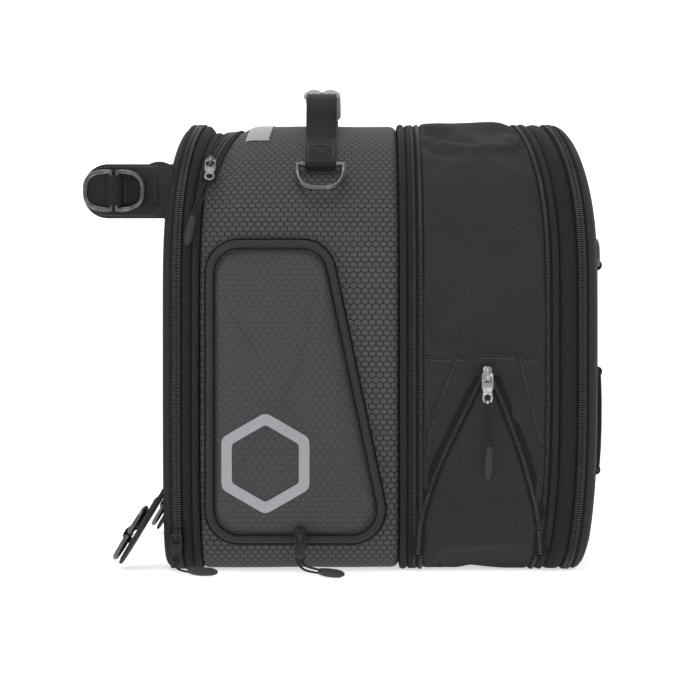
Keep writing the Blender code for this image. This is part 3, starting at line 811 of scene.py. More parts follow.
def make_body():
    """The honeycomb wall, its lining and the bands on both sides of it."""
    low, high = SHELL
    profile = [(low + 0.0006, -0.0042), (low + 0.0002, -0.0026), (low + 0.0010, -0.0012),
               (low + 0.0024, -0.0004)]
    inner = [low + 0.0048 + (high - low - 0.0120) * k / 38 for k in range(39)]
    profile += [(x, 0.0) for x in inner]
    profile += [(high - 0.0045, -0.0003), (high - 0.0026, -0.0011), (high - 0.0011, -0.0025),
                (high - 0.0004, -0.0044), (high - 0.0006, -0.0060), (low + 0.0006, -0.0060)]
    wall = sweep("body_wall", profile, soft=gentle)
    put(wall, SKIN["hex"], "main_body", ["body_shell"])

    lining = sweep("lining", [(SHELL[0] - 0.0036, -0.0064), (SHELL[0] + 0.05, -0.0066),
                              (BAND[1], -0.0064), (BAND[1], -0.0073), (SHELL[0] - 0.0036, -0.0073)])
    put(lining, SKIN["lining"], "main_body", ["body_lining"])

    collar = sweep("base_collar_roll", roll(*BASE_COLLAR, 0.0010, 0.0022, 0.0060))
    put(collar, SKIN["trim"], "main_body", ["base_collar"])
    piping("lower_piping", LOWER_PIPE, "main_body")
    piping("upper_piping", UPPER_PIPE, "main_body")
    overlap = [(BAND[0] - 0.0004, -0.0030), (BAND[0] + 0.0002, -0.0010), (BAND[0] + 0.0012, 0.0002),
               (BAND[0] + 0.0030, 0.0005), (BAND[1] - 0.0024, 0.0007), (BAND[1] - 0.0008, 0.0006),
               (BAND[1] - 0.0002, -0.0002), (BAND[1] - 0.0001, -0.0062), (BAND[0], -0.0062)]
    band = sweep("body_band_cloth", overlap)
    put(band, SKIN["trim"], "main_body", ["body_band"])
    zip_band("body_zip", BODY_TEETH, "main_body", "body_zip_half", [BODY_TEETH[0] + 0.0030])
    stitched_line("body_band_stitches", BAND[1] - 0.0020, 0.0008, "main_body")

    board = flat_board("floor_panel", -0.1460, -0.1435, 0.0080)
    put(board, SKIN["plain_solid"], "main_body", ["floor_board"])


def flat_board(name, x0, x1, inset):
    """A flat board across the bag, with a rounded rim."""
    rim = even([Vector(station(PERIMETER * k / 240)[:2]) for k in range(240)], 0.006)
    rim = grown(rim, -inset)
    middle = Vector((0.0, DEPTH / 2))
    points, uvs = [], []
    for x, share in ((x0, 0.0), (x0, 0.97), (x0 + 0.0004, 1.0), (x1 - 0.0004, 1.0),
                     (x1, 0.97), (x1, 0.0)):
        for p in rim:
            q = middle.lerp(p, share)
            points.append(Vector((x, q.x, q.y)))
            uvs.append((q.x, q.y))
    faces = grid_faces(6, len(rim), wrap=True)
    return make(name, points, faces, uvs)


def domed(name, layers, lean_at):
    """Loops of the D outline from the edge over the crown and back behind it.

    Each is (x, inset, share of the way to the middle, share of the lean).
    """
    rim = [Vector(station(PERIMETER * k / RIM_POINTS)[:2]) for k in range(RIM_POINTS)]
    middle = Vector((0.0, DEPTH / 2))
    points, uvs = [], []
    for x, inset, share, give in layers:
        for p in grown(rim, -inset):
            q = p.lerp(middle, share)
            points.append(Vector((x + give * lean(lean_at, q.y), q.x, max(q.y, FLOOR))))
            uvs.append((q.x, q.y))
    return make(name, points, grid_faces(len(layers), len(rim), wrap=True), uvs)


def make_base():
    """The panel that lies on the seat, its piping and its zip."""
    layers = [(BASE_PIPE - 0.0010, 0.0030, 0.0, 1.0), (BASE_PIPE - 0.0030, 0.0024, 0.0, 1.0),
              (BASE_PIPE - 0.0042, 0.0034, 0.0, 1.0), (BASE_PIPE - 0.0052, 0.0060, 0.0, 1.0),
              (BASE_FACE + 0.0004, LIP_INSET, 0.0, 0.9)]
    layers += [(BASE_FACE, FACE_INSET, FLAT_SHARE * k / 5, 0.75 * (1 - ease(k, -1, 5)))
               for k in range(6)]
    layers += [(BASE_FACE, FACE_INSET, share, 0.0) for share in (0.35, 0.5, 0.65, 0.8, 0.92, 1.0)]
    layers += [(BASE_FACE + 0.0030, FACE_INSET, 1.0, 0.0),
               (BASE_FACE + 0.0030, FACE_INSET, FLAT_SHARE, 0.0),
               (BASE_PIPE - 0.0006, 0.0060, 0.0, 1.0)]
    panel = domed("base_panel_skin", layers, BASE_FACE)
    put(panel, SKIN["base"], "base", ["base_panel"])
    piping("base_piping", BASE_PIPE, "base", 0.0022, 0.0010)
    zip_band("base_zip", BASE_ZIP, "base", "base_zip",
             [BASE_ZIP[0] + 0.0022, BASE_ZIP[1] - 0.0018])
    stitched_line("base_edge_stitches", BASE_ZIP[0] + 0.0003, 0.0002, "base")


def make_lid():
    """The lid frame's half zip and collar, and the lid with its zip and domed panel."""
    zip_band("lid_half_zip", LID_TEETH, "lid_frame", "lid_zip_half", [LID_TEETH[0] + 0.0020])
    piping("collar_piping", COLLAR_PIPE, "lid_frame")
    collar = sweep("lid_collar_cloth", roll(*LID_COLLAR, 0.0008, 0.0024, 0.0052, 12))
    put(collar, SKIN["trim"], "lid_frame", ["lid_collar"])
    backing = sweep("collar_backing", [(LID_TEETH[0], -0.0036), (LID_COLLAR[1] - 0.001, -0.0042),
                                       (LID_COLLAR[1] - 0.001, -0.0054), (LID_TEETH[0], -0.0050)])
    put(backing, SKIN["lining"], "lid_frame")
    zip_band("lid_zip", LID_ZIP, "lid", "lid_zip", [LID_ZIP[0] + 0.0023, LID_ZIP[1] - 0.0028])
    edge = [(-0.0006, 0.0034), (0.0002, 0.0008), (0.0012, -0.0004), (0.0028, 0.0000),
            (0.0052, 0.0016), (0.0070, 0.0048), (0.0078, 0.0085), (0.0081, 0.0100),
            (0.0076, 0.0106), (0.0083, 0.0113), (0.0090, 0.0150), (LID_SHOULDER, FACE_INSET)]
    layers = [(LID_EDGE + x, inset, 0.0, 1.0) for x, inset in edge]
    climb = LID_CROWN - LID_EDGE - LID_SHOULDER
    layers += [(LID_EDGE + LID_SHOULDER + climb * ease(k / 12, 0.0, 0.7), FACE_INSET, k / 12, 1.0)
               for k in range(1, 13)]
    layers += [(LID_EDGE + 0.0050, FACE_INSET, 1.0, 1.0), (LID_EDGE + 0.0050, FACE_INSET, 0.0, 1.0),
               (LID_EDGE + 0.0010, 0.0060, 0.0, 1.0)]
    shell = domed("lid_panel", layers, LID_EDGE)
    put(shell, SKIN["plain"], "lid", ["lid_shell"])
    board = flat_board("lid_board_lining", 0.1606, 0.1618, 0.0150)
    for vertex in board.data.vertices:
        vertex.co.x += 0.0004 + lean(LID_EDGE, vertex.co.z)
    put(board, SKIN["plain_solid"], "lid", ["lid_board"])


# ---- cloth simulation --------------------------------------------------------------------

SIM_FRAMES = 20


def simulate(thing, settings, pinned):
    """Run Blender's cloth on a piece, held at its pinned points, and keep the result."""
    cloth_mod = thing.modifiers.new("cloth", "CLOTH")
    for key, value in settings.items():
        setattr(cloth_mod.settings, key, value)
    cloth_mod.settings.effector_weights.gravity = 0.0
    group = thing.vertex_groups.new(name="pinned")
    group.add(pinned, 1.0, "ADD")
    cloth_mod.settings.vertex_group_mass = "pinned"
    cloth_mod.point_cache.frame_start = 1
    cloth_mod.point_cache.frame_end = SIM_FRAMES
    scene = bpy.context.scene
    for frame_number in range(1, SIM_FRAMES + 1):
        scene.frame_set(frame_number)
    shape = thing.evaluated_get(bpy.context.evaluated_depsgraph_get())
    places = [v.co.copy() for v in shape.data.vertices]
    thing.modifiers.remove(cloth_mod)
    for vertex, place in zip(thing.data.vertices, places):
        vertex.co = place
    thing.vertex_groups.clear()
    scene.frame_set(1)


# ---- side pockets ------------------------------------------------------------------------

POCKET = [(-0.1357, 0.0226), (0.0100, 0.0226), (-0.0398, 0.2587), (-0.1357, 0.2587)]
POCKET_R = 0.026
WELT_R = 0.0030
POCKET_FACE = 0.0066
POCKET_CAP = 0.0055


def limited(moved, limit):
    """A movement cut to a length."""
    return moved * (limit / moved.length) if moved.length > limit else moved


def pocket_panel(name, side):
    """A padded panel inside its welt, puffed by simulation."""
    rim = even(grown(fillet(POCKET, POCKET_R), -2 * WELT_R - 0.0002), 0.0040)
    middle = sum(rim, Vector((0, 0))) / len(rim)
    shares = [0.0, 0.010, 0.03] + [0.06 + 0.047 * k for k in range(20)]
    points = []
    for share in shares:
        rise = POCKET_FACE * (1 - (1 - ease(share, 0.0, 0.085)) ** 1.3)
        for p in rim:
            q = p.lerp(middle, share)
            uneven = 0.0006 * noise.noise(Vector((q.x * 30, side * 3.0, q.y * 30)))
            points.append(Vector((q.x, side * (HALF + 0.0012 + rise + uneven * ease(share, 0, 0.3)),
                                  q.y)))
    faces = grid_faces(len(shares), len(rim), wrap=True)
    last = (len(shares) - 1) * len(rim)
    faces.append(tuple(last + i for i in range(len(rim))))
    panel = make(name, points, faces)
    fix_normals(panel, Vector((0, side, 0)))
    start = [v.co.copy() for v in panel.data.vertices]
    pinned = [v.index for v in panel.data.vertices if abs(v.co.y) < HALF + 0.0030]
    simulate(panel, {"quality": 6, "use_pressure": True, "uniform_pressure_force": 4.0,
                     "tension_stiffness": 15.0, "bending_stiffness": 0.6, "mass": 0.3}, pinned)
    for vertex, home in zip(panel.data.vertices, start):
        vertex.co = home + limited(vertex.co - home, POCKET_CAP)
    return panel


def fix_normals(thing, out):
    """Turn a single-sheet piece so that its faces look along `out`."""
    facing = sum((p.normal * p.area for p in thing.data.polygons), Vector((0, 0, 0)))
    if facing.dot(out) < 0:
        thing.data.flip_normals()


def subdivided(thing, levels=1):
    smooth = thing.modifiers.new("smooth", "SUBSURF")
    smooth.levels = levels
    smooth.render_levels = levels


def surface_of(things):
    """A tree for finding points on some meshes."""
    points, faces = [], []
    for thing in things:
        first = len(points)
        points += [v.co.copy() for v in thing.data.vertices]
        faces += [[first + i for i in p.vertices] for p in thing.data.polygons]
    return BVHTree.FromPolygons(points, faces)


def laid_on(tree, x, z, side, lift):
    """The point over a side's surface at (x, z), `lift` above it."""
    hit = tree.ray_cast(Vector((x, side * 0.30, z)), Vector((0, -side, 0)))[0]
    y = hit.y if hit else side * HALF
    return Vector((x, y + side * lift, z))


# The plain hexagon ring: its middle as (x, z), and its radii at the corners
EMBLEM = (-0.0890, 0.0850)
EMBLEM_R = (0.0300, 0.0395)


def emblem(tree):
    """A plain reflective hexagon ring on the near pocket."""
    corners = [[(EMBLEM[0] + r * math.cos(a), EMBLEM[1] + r * math.sin(a))
                for a in (math.pi / 3 * k + math.pi / 6 for k in range(6))] for r in EMBLEM_R]
    rims = [even(fillet(c, r), 0.0024) for c, r in zip(corners, (0.003, 0.007))]
    count = 96
    rows = []
    for share in (0.0, 0.25, 0.5, 0.75, 1.0):
        for k in range(count):
            pick = [rim[round(k * len(rim) / count) % len(rim)] for rim in rims]
            rows.append(pick[0].lerp(pick[1], share))
    points = [laid_on(tree, p.x, p.y, -1, 0.0004) for p in rows]
    ring = make("pocket_emblem", points, grid_faces(5, count, wrap=True))
    fix_normals(ring, Vector((0, -1, 0)))
    put(ring, SKIN["film"], "main_body")


def pocket_line(name, side, grow, lift, radius, flat=1.0, sides=6):
    """A cord round the pocket, moved out from its outline by grow and off the wall by lift."""
    edge = even(grown(fillet(POCKET, POCKET_R), grow), 0.0030)
    line = [Vector((p.x, side * (HALF + lift), p.y)) for p in edge]
    return tube(name, line, radius, Vector((0, side, 0)), closed=True, flat=flat, sides=sides)


def make_pockets():
    """Each pocket's panel, its rounded welt, and a dark cord on each of the welt's two sides:
    painted shade along the seam on the wall and painted shade in the groove on the panel.
    """
    for name, side in (("near", -1), ("far", 1)):
        panel = pocket_panel("pocket_panel_" + name, side)
        subdivided(panel)
        put(panel, SKIN["pocket"], "main_body", ["side_pocket_" + name])
        welt = pocket_line("pocket_welt_cord_" + name, side, -WELT_R, 0.0002 + WELT_R, WELT_R,
                           sides=12)
        put(welt, SKIN["welt"], "main_body", ["pocket_welt_" + name])
        # Dark line along the seam just outside the welt: painted shade at the welt's outer foot.
        seam = pocket_line("pocket_seam_" + name, side, 0.0010, 0.0002, 0.0007, 0.5, 8)
        put(seam, SKIN["tape"], "main_body")
        # Dark cord in the groove just inside the welt: painted shade where the welt meets the
        # panel.
        groove_shade = pocket_line("pocket_groove_" + name, side, -0.0062, 0.0020, 0.0006)
        put(groove_shade, SKIN["tape"], "main_body")
        if side < 0:
            emblem(surface_of([panel]))


# ---- gusset and expansion zip ------------------------------------------------------------

FOLD_DEPTH = 0.0060

# The V zip's legs and seam lines on the near side, as (x, z)
LEFT_LEG = [(0.0800, 0.1520), (0.0690, 0.1290), (0.0560, 0.1030), (0.0450, 0.0790),
            (0.0370, 0.0560), (0.0320, 0.0370), (0.0300, 0.0130)]
RIGHT_LEG = [(0.0868, 0.1520), (0.0950, 0.1320), (0.1040, 0.1090), (0.1120, 0.0860),
             (0.1180, 0.0640), (0.1225, 0.0430), (0.1245, 0.0130)]
LEFT_SEAM = [(0.0580, 0.1670), (0.0470, 0.1390), (0.0380, 0.1120), (0.0355, 0.0900)]
RIGHT_SEAM = [(0.1070, 0.1670), (0.1130, 0.1420), (0.1190, 0.1180), (0.1250, 0.0980)]
CROSS_SEAM_Z = 0.1680


def crease(x, s, route, width):
    """Nearness to a crease line given as (x, s) points, from 0 to 1."""
    best = 1.0
    for a, b in zip(route, route[1:]):
        along = Vector(b) - Vector(a)
        t = min(max((Vector((x, s)) - Vector(a)).dot(along) / along.length_squared, 0.0), 1.0)
        best = min(best, (Vector((x, s)) - Vector(a) - along * t).length)
    return math.exp(-(best / width) ** 2)


def gusset_shape(x, s):
    """Depth of the gusset's own folds, inward."""
    t = (x - GUSSET[0]) / (GUSSET[1] - GUSSET[0])
    a = s * 2 * math.pi / PERIMETER
    where = Vector((x * 16, math.cos(a) * 5.0, math.sin(a) * 5.0))
    y, z = station(s)[:2]
    calm = ease(z, 0.10, 0.20)
    broad = noise.noise(where) + 0.5 * noise.noise(where * 2.1)
    depth = -0.0008 * math.sin(math.pi * t) * (1.0 + 0.6 * calm)
    depth += 0.0026 * broad * math.sin(math.pi * t) ** 0.5 * (0.35 + 0.65 * calm)
    near = 1.0 if y < 0 else 0.6
    mirror = s if y < 0 else PERIMETER - s
    top = rear_s(64, -1)
    ridge = [(0.035, top), (0.064, top + 0.020), (0.084, top + 0.026), (0.128, top + 0.010)]
    low = [(0.040, top + 0.052), (0.075, top + 0.060), (0.120, top + 0.040)]
    depth += 0.0036 * near * crease(x, mirror, ridge, 0.0060)
    depth -= 0.0022 * near * crease(x, mirror, [(p, q + 0.013) for p, q in ridge], 0.0100)
    depth -= 0.0018 * near * crease(x, mirror, low, 0.0120)
    return min(depth, 0.0012)


def make_gusset():
    """The soft wall, wrinkled by simulation, and the V zip sewn to its near side."""
    rows = 26
    profile = [(GUSSET[0] + (GUSSET[1] - GUSSET[0]) * k / rows, -0.0012) for k in range(rows + 1)]

    def soft(x, s):
        t = (x - GUSSET[0]) / (GUSSET[1] - GUSSET[0])
        return gusset_shape(x, s) * ease(min(t, 1 - t), 0.0, 0.09)

    wall = sweep("gusset_cloth", profile, closed=False, step=0.0042, soft=soft)
    start = [v.co.copy() for v in wall.data.vertices]
    ends = [v.index for v in wall.data.vertices
            if v.co.x - lean(GUSSET[0], v.co.z) < GUSSET[0] + 0.002
            or v.co.x - lean(GUSSET[1], v.co.z) > GUSSET[1] - 0.002]
    simulate(wall, {"quality": 5, "shrink_min": -0.035, "tension_stiffness": 12.0,
                    "compression_stiffness": 12.0, "bending_stiffness": 1.2, "mass": 0.25}, ends)
    for vertex, home in zip(wall.data.vertices, start):
        flat_zone = 1.0 - ease(home.z, 0.150, 0.200) if home.y < 0 else 0.4
        place = home + limited(vertex.co - home, FOLD_DEPTH * (1 - 0.7 * flat_zone))
        face = HALF + 0.0004
        vertex.co = (place.x, min(max(place.y, -face), face), max(place.z, FLOOR))
    subdivided(wall)
    put(wall, SKIN["plain"], "main_body", ["gusset"])
    make_v_zip(surface_of([wall]))
    applied(wall)
    squashed(wall)


def applied(thing):
    """Keep a piece's modifiers in its mesh."""
    bpy.context.view_layer.update()
    shape = thing.evaluated_get(bpy.context.evaluated_depsgraph_get())
    data = bpy.data.meshes.new_from_object(shape)
    thing.modifiers.clear()
    thing.data = data


def squashed(thing):
    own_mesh(thing)


def on_gusset(tree, route, lift, steps=8):
    """A smooth line laid on the gusset's near side, from (x, z) points."""
    flat = curve_through([(x, z, 0) for x, z in route], steps)
    return [laid_on(tree, p.x, p.y, -1, lift) for p in flat]


def make_v_zip(tree):
    """Two tapes with their coils, the seams beside them and the seam across the top."""
    out = Vector((0, -1, 0))
    things = []
    for name, route, inner in (("left", LEFT_LEG, 1), ("right", RIGHT_LEG, -1)):
        line = on_gusset(tree, route, 0.0005)
        tape = [p + Vector((-inner * 0.0018, 0, 0)) for p in line]
        band = tube("v_tape_" + name, tape, 0.0050, out, flat=0.10, sides=10)
        put(band, SKIN["tape"], "main_body", ["v_zip"] if inner > 0 else ())
        coil = bars("v_coil_" + name, line, [out] * len(line), TOOTH_PITCH, 0.0026, 0.00055,
                    math.radians(82), offset=inner * 0.0004, lift=0.0007)
        put(coil, SKIN["coil"], "main_body")
        things += [band, coil]
    for name, route in (("left", LEFT_SEAM), ("right", RIGHT_SEAM)):
        line = on_gusset(tree, route, 0.0004)
        seam = tube("v_seam_" + name, line, 0.0008, out, flat=0.5, sides=6)
        put(seam, SKIN["plain"], "main_body")
        things.append(seam)
        line = on_gusset(tree, [(x + 0.0022, z) for x, z in route], 0.0004)
        row = bars("v_stitches_" + name, line, [out] * len(line), *SEAM_STITCH)
        put(row, SKIN["thread"], "main_body")
        things.append(row)
    route = [(0.0350 + 0.0112 * k, CROSS_SEAM_Z - 0.0012 * math.sin(k)) for k in range(9)]
    line = on_gusset(tree, route, 0.0004, 4)
    seam = tube("cross_seam", line, 0.0009, out, flat=0.5, sides=6)
    put(seam, SKIN["plain"], "main_body")
    row = bars("cross_seam_stitches", [p - Vector((0, 0, 0.0024)) for p in line],
               [out] * len(line), *SEAM_STITCH)
    put(row, SKIN["thread"], "main_body")
    things += [seam, row]
    for thing in things:
        squashed(thing)


# ---- rear zip and film -------------------------------------------------------------------

REAR_ZIP_ENDS = 36
REAR_ZIP_X = -0.1425
REAR_ZIP_LEAN = 0.0235
REAR_ZIP_STEPS = 150


def rear_zip_x(z):
    """The rear zip's place along X at height z."""
    return REAR_ZIP_X + REAR_ZIP_LEAN * ((z - DEPTH / 2) / (DEPTH / 2)) ** 4


def make_rear_zip():
    """The zip across the rear near the base, between two lips of cloth."""
    low, high = rear_s(REAR_ZIP_ENDS, 1), rear_s(REAR_ZIP_ENDS, -1)
    stations = [low + (high - low) * k / REAR_ZIP_STEPS for k in range(REAR_ZIP_STEPS + 1)]

    def line_at(shift, out):
        found = []
        for s in stations:
            z = station(s)[1]
            found.append(at(flat_x(rear_zip_x(z) + shift, z), s, out))
        return found

    outs = [normal(s) for s in stations]
    tape = tube("rear_zip_tape", line_at(0.0, 0.0008), 0.0044, outs, flat=0.12, sides=10)
    put(tape, SKIN["tape"], "main_body", ["rear_zip"])
    for name, shift in (("low", -0.0050), ("high", 0.0050)):
        lip = tube("rear_zip_lip_" + name, line_at(shift, 0.0006), 0.0017, outs, flat=0.75, sides=8)
        put(lip, SKIN["trim"], "main_body")
    for k, shift in enumerate((-0.0016, 0.0016)):
        coil = bars(f"rear_zip_coil_{k}", line_at(shift, 0.0016), outs, TOOTH_PITCH, 0.0027,
                    0.0005, math.radians(80 if k else 100))
        put(coil, SKIN["coil"], "main_body")


def flat_x(x, z):
    """The x before leaning of a point that ends at x, at height z."""
    guess = x
    for _ in range(4):
        guess = x - lean(guess, z)
    return guess


STRIP = (-0.1150, 0.0200)  # where the strip begins along X, and its width
STRIP_ENDS = 59


def make_strip():
    """A plain reflective strip across the rear, near the base."""
    span = (rear_s(STRIP_ENDS, 1), rear_s(STRIP_ENDS, -1))
    profile = [(STRIP[0] + STRIP[1] * k / 8, 0.0002) for k in range(9)]
    strip = sweep("rear_strip", profile, closed=False, span=span, soft=gentle)
    for vertex in strip.data.vertices:
        vertex.co += Vector((0, 0, 0.0004))
    put(strip, SKIN["film"], "main_body")


# ---- hardware ----------------------------------------------------------------------------

def d_ring(name, place, width, height, wire_r):
    """A D-ring: its straight bar lies along the place's X, and the bow reaches along -Y."""
    half, deep = width / 2 - wire_r, height - 2 * wire_r
    line = []
    for k in range(41):
        a = math.pi * k / 40
        line.append(place @ Vector((math.copysign(abs(math.cos(a)) ** 0.7, math.cos(a)) * half,
                                    -deep * math.sin(a) ** 0.7, 0.0)))
    for k in range(1, 8):
        line.append(place @ Vector((-half + 2 * half * k / 8, 0, 0)))
    out = (place.to_3x3() @ Vector((0, 0, 1))).normalized()
    ring = tube(name + "_wire", line, wire_r, out, closed=True, sides=14)
    put(ring, SKIN["gun"], name, [name])


HANDLE_X = -0.0468
HANDLE_EYE = (41.0, 0.0049)
HANDLE_ANGLES = (42.5, 47, 51, 55, 60)
HANDLE_RISE = [(-0.1000, 0.3590), (-0.0910, 0.3740), (-0.0760, 0.3845)]
HANDLE_CREST = [(-0.0450, 0.3895), (0.0, 0.3915), (0.0450, 0.3895)]
HANDLE_LOOP_R = 0.0032
HANDLE_RING = (0.041, 0.031, 0.0021)
GRIP_HALF = 0.0152
GRIP_SIDES = 36


def on_rear(angle, out, side):
    """The (y, z) point at an angle above the horizontal on a rear corner."""
    a = math.radians(angle)
    reach = REAR_R + out
    return side * (REAR_Y + reach * math.cos(a)), REAR_Z + reach * math.sin(a)


def make_handle():
    """Webbing over the rear with a ring loop at each end, and the folded grip."""
    rise = [on_rear(angle, 0.0016, -1) for angle in HANDLE_ANGLES] + HANDLE_RISE
    route = rise + HANDLE_CREST + [(-y, z) for y, z in reversed(rise)]
    line = curve_through([(HANDLE_X, y, z) for y, z in route], 6)
    strip = strap("handle_strap", line, (1, 0, 0), WEBBING_WIDTH, WEBBING)
    things = [strip]
    for side in (-1, 1):
        y, z = on_rear(*HANDLE_EYE, side)
        eye = Vector((HANDLE_X, y, z))
        ring = [eye + Vector((0, p.x, p.y)) for p in disc(HANDLE_LOOP_R, (0, 0))]
        things.append(strap("handle_loop", ring, (1, 0, 0), WEBBING_WIDTH - 0.0006, 0.0014,
                            closed=True))
    whole = joined("handle_webbing_strap", things)
    put(whole, SKIN["strap"], "main_body", ["handle_webbing"])
    handle_stitches()
    handle_grip()
    for name, side in (("near", -1), ("far", 1)):
        y, z = on_rear(*HANDLE_EYE, side)
        a = math.radians(HANDLE_EYE[0])
        up = Vector((0, -side * math.sin(a), math.cos(a)))
        out = Vector((0, side * math.cos(a), math.sin(a)))
        d_ring("handle_ring_" + name, axes((HANDLE_X, y, z), up.cross(out), up, out),
               *HANDLE_RING)


def handle_stitches():
    """A boxed cross of stitches above each ring loop."""
    for name, side in (("near", -1), ("far", 1)):
        def spot(u, angle, side=side):
            y, z = on_rear(angle, 0.0027, side)
            return Vector((HANDLE_X + u, y, z))

        a = math.radians(50)
        out = Vector((0, side * math.cos(a), math.sin(a)))
        corners = ((-0.010, 45.5), (0.010, 45.5), (0.010, 53.5), (-0.010, 53.5))
        rows = list(zip(corners, corners[1:] + corners[:1])) + [(corners[0], corners[2]),
                                                                (corners[1], corners[3])]
        things = []
        for start, end in rows:
            line = [spot(start[0] + (end[0] - start[0]) * t / 6,
                         start[1] + (end[1] - start[1]) * t / 6) for t in range(7)]
            things.append(bars("row", line, [out] * 7, 0.0027, 0.0021, 0.00028))
        put(joined("handle_stitches_" + name, things), SKIN["thread"], "main_body")


def handle_grip():
    """A folded rubber sleeve: two lobes with the seam between them."""
    route = [(-0.0736, 0.3832), (-0.0600, 0.3868), (-0.0450, 0.3895), (0.0, 0.3908),
             (0.0450, 0.3895), (0.0600, 0.3868), (0.0736, 0.3832)]
    line = curve_through([(HANDLE_X, y, z) for y, z in route], 8)
    half, sides = GRIP_HALF, GRIP_SIDES
    points, uvs = [], []
    for k, (point, along, s) in enumerate(zip(line, tangents(line), lengths(line))):
        up = Vector((1, 0, 0)).cross(along).normalized()
        up = up if up.z > 0 else -up
        end = min(k, len(line) - 1 - k)
        swell = 0.86 + 0.14 * ease(end, 0, 3)
        for i in range(sides):
            a = 2 * math.pi * i / sides
            x = half * math.cos(a)
            lobe = abs(math.sin(math.pi * (x + half) / half)) ** 0.8
            shoulder = abs(math.sin(a)) ** 0.5
            rise = (0.0016 + 0.0026 * lobe) * shoulder
            drop = (0.0026 + 0.0020 * lobe) * shoulder
            height = rise if math.sin(a) >= 0 else -drop
            points.append(point + Vector((x * swell, 0, 0)) + up * height * swell)
            uvs.append((s, x))
    faces = grid_faces(len(line), sides, wrap=True)
    last = (len(line) - 1) * sides
    faces += [tuple(reversed(range(sides))), tuple(last + i for i in range(sides))]
    grip = make("handle_grip_sleeve", points, faces, uvs, sharp=70)
    outward(grip)
    put(grip, SKIN["sleeve"], "main_body", ["handle_grip"])


def outward(thing):
    """Make a closed piece's faces look outward."""
    build = bmesh.new()
    build.from_mesh(thing.data)
    bmesh.ops.recalc_face_normals(build, faces=build.faces)
    build.to_mesh(thing.data)
    build.free()


TAB_LENGTH = 0.0635
TAB_WIDTH = 0.043
TAB_ROOT = 0.008
TAB_CORNER_R = 0.0195
TAB_ROWS = (0.0065, 0.0300)  # cross rows of stitches, from the root
TAB_THICK = 0.0026
LOOP_AT = 0.0385
RING_PITCH = 0.0046
RING_OUT = 0.0045
RING_SIZE = (0.034, 0.0245)
RING_WIRE = 0.0021

# Each tab's name and root, the way it points and the way it faces
TABS = (
    ("near_rear", (BASE_FACE - 0.0006, -0.148, 0.299), (-1, 0, 0), (0, -1, 0)),
    ("far_rear", (BASE_FACE - 0.0010, 0.148, 0.302), (-0.76, 0, 0.65), (0, 1, 0)),
    ("near_front", (BASE_FACE - 0.0016, -0.148, 0.0580), (-0.52, 0, -0.854), (-0.854, 0, 0.52)),
    ("far_front", (BASE_FACE - 0.0016, 0.148, 0.0580), (-0.52, 0, -0.854), (-0.854, 0, 0.52)),
)


def make_tab(name, root, along, out):
    """A leather tab with its stitched edge, webbing patch, ring loop and two rings."""
    along, out = Vector(along).normalized(), Vector(out).normalized()
    across = out.cross(along)
    place = axes(root, along, across, out)
    half = TAB_WIDTH / 2
    corners = [(0.0, -half), (TAB_LENGTH, -half), (TAB_LENGTH, half), (0.0, half)]
    rounded = fillet(corners, TAB_CORNER_R, 12)
    shape = [p for p in rounded if p.x > 0.020]
    shape += [Vector((-TAB_ROOT, half)), Vector((-TAB_ROOT, -half))]
    leaf = slab("tab_leaf_" + name, [shape], TAB_THICK, place, 0.0008, 3)
    put(leaf, SKIN["suede"], "base", ["tab_" + name])

    top = TAB_THICK / 2
    run = even(grown(shape, -0.0022), 0.0025)
    row = [place @ Vector((p.x, p.y, top + 0.0001)) for p in run if p.x > 0.003]
    first = max(range(len(row)), key=lambda k: (row[k] - row[k - 1]).length)
    row = row[first:] + row[:first]
    stitches = [bars("edge_row", row, [out] * len(row), 0.0031, 0.0023, 0.00030)]
    for x in TAB_ROWS:
        line = [place @ Vector((x, y / 1000, top + 0.0018)) for y in range(-10, 11, 2)]
        stitches.append(bars("cross_row", line, [out] * len(line), 0.0027, 0.0020, 0.00028))
    put(joined("tab_stitches_" + name, stitches), SKIN["thread"], "base")

    near, far = LOOP_AT - 0.0050, LOOP_AT + 0.0050
    middle = top + RING_OUT
    route = [(0.0040, top + 0.0008), (0.0200, top + 0.0008), (near - 0.0028, top + 0.0010),
             (near - 0.0008, middle - 0.0020), (near - 0.0006, middle + 0.0010),
             (near + 0.0022, middle + 0.0030), (LOOP_AT, middle + 0.0034),
             (far - 0.0022, middle + 0.0030), (far + 0.0006, middle + 0.0010),
             (far + 0.0004, middle - 0.0022), (far + 0.0006, top + 0.0006)]
    line = [place @ p for p in curve_through([(x, 0, z) for x, z in route], 5)]
    fold = strap("tab_loop_" + name, line, across, 0.0240, 0.0014)
    put(fold, SKIN["strap"], "base")
    for which, side in (("outer", 1), ("inner", -1)):
        at_bar = place @ Vector((LOOP_AT + side * RING_PITCH / 2, 0, middle))
        d_ring(f"ring_{name}_{which}", axes(at_bar, across * side, along * -side, out),
               *RING_SIZE, RING_WIRE)


# ---- lid straps and lacing ---------------------------------------------------------------

LID_STRAP_Y = 0.095
LOOPS_Z = (0.0755, 0.1555)
CORD_R = 0.0020
CORD_OUT = 0.0048
STRAP_HEIGHTS = [0.0600 + 0.0256 * k for k in range(8)]
LID_RING_Z = STRAP_HEIGHTS[-1] + 0.0030
LID_RING = (0.034, 0.024, 0.0018)


def lid_top(z, out=0.0):
    """The lid's outer face at height z, away from its edges."""
    return LID_CROWN + lean(LID_EDGE, z) + out


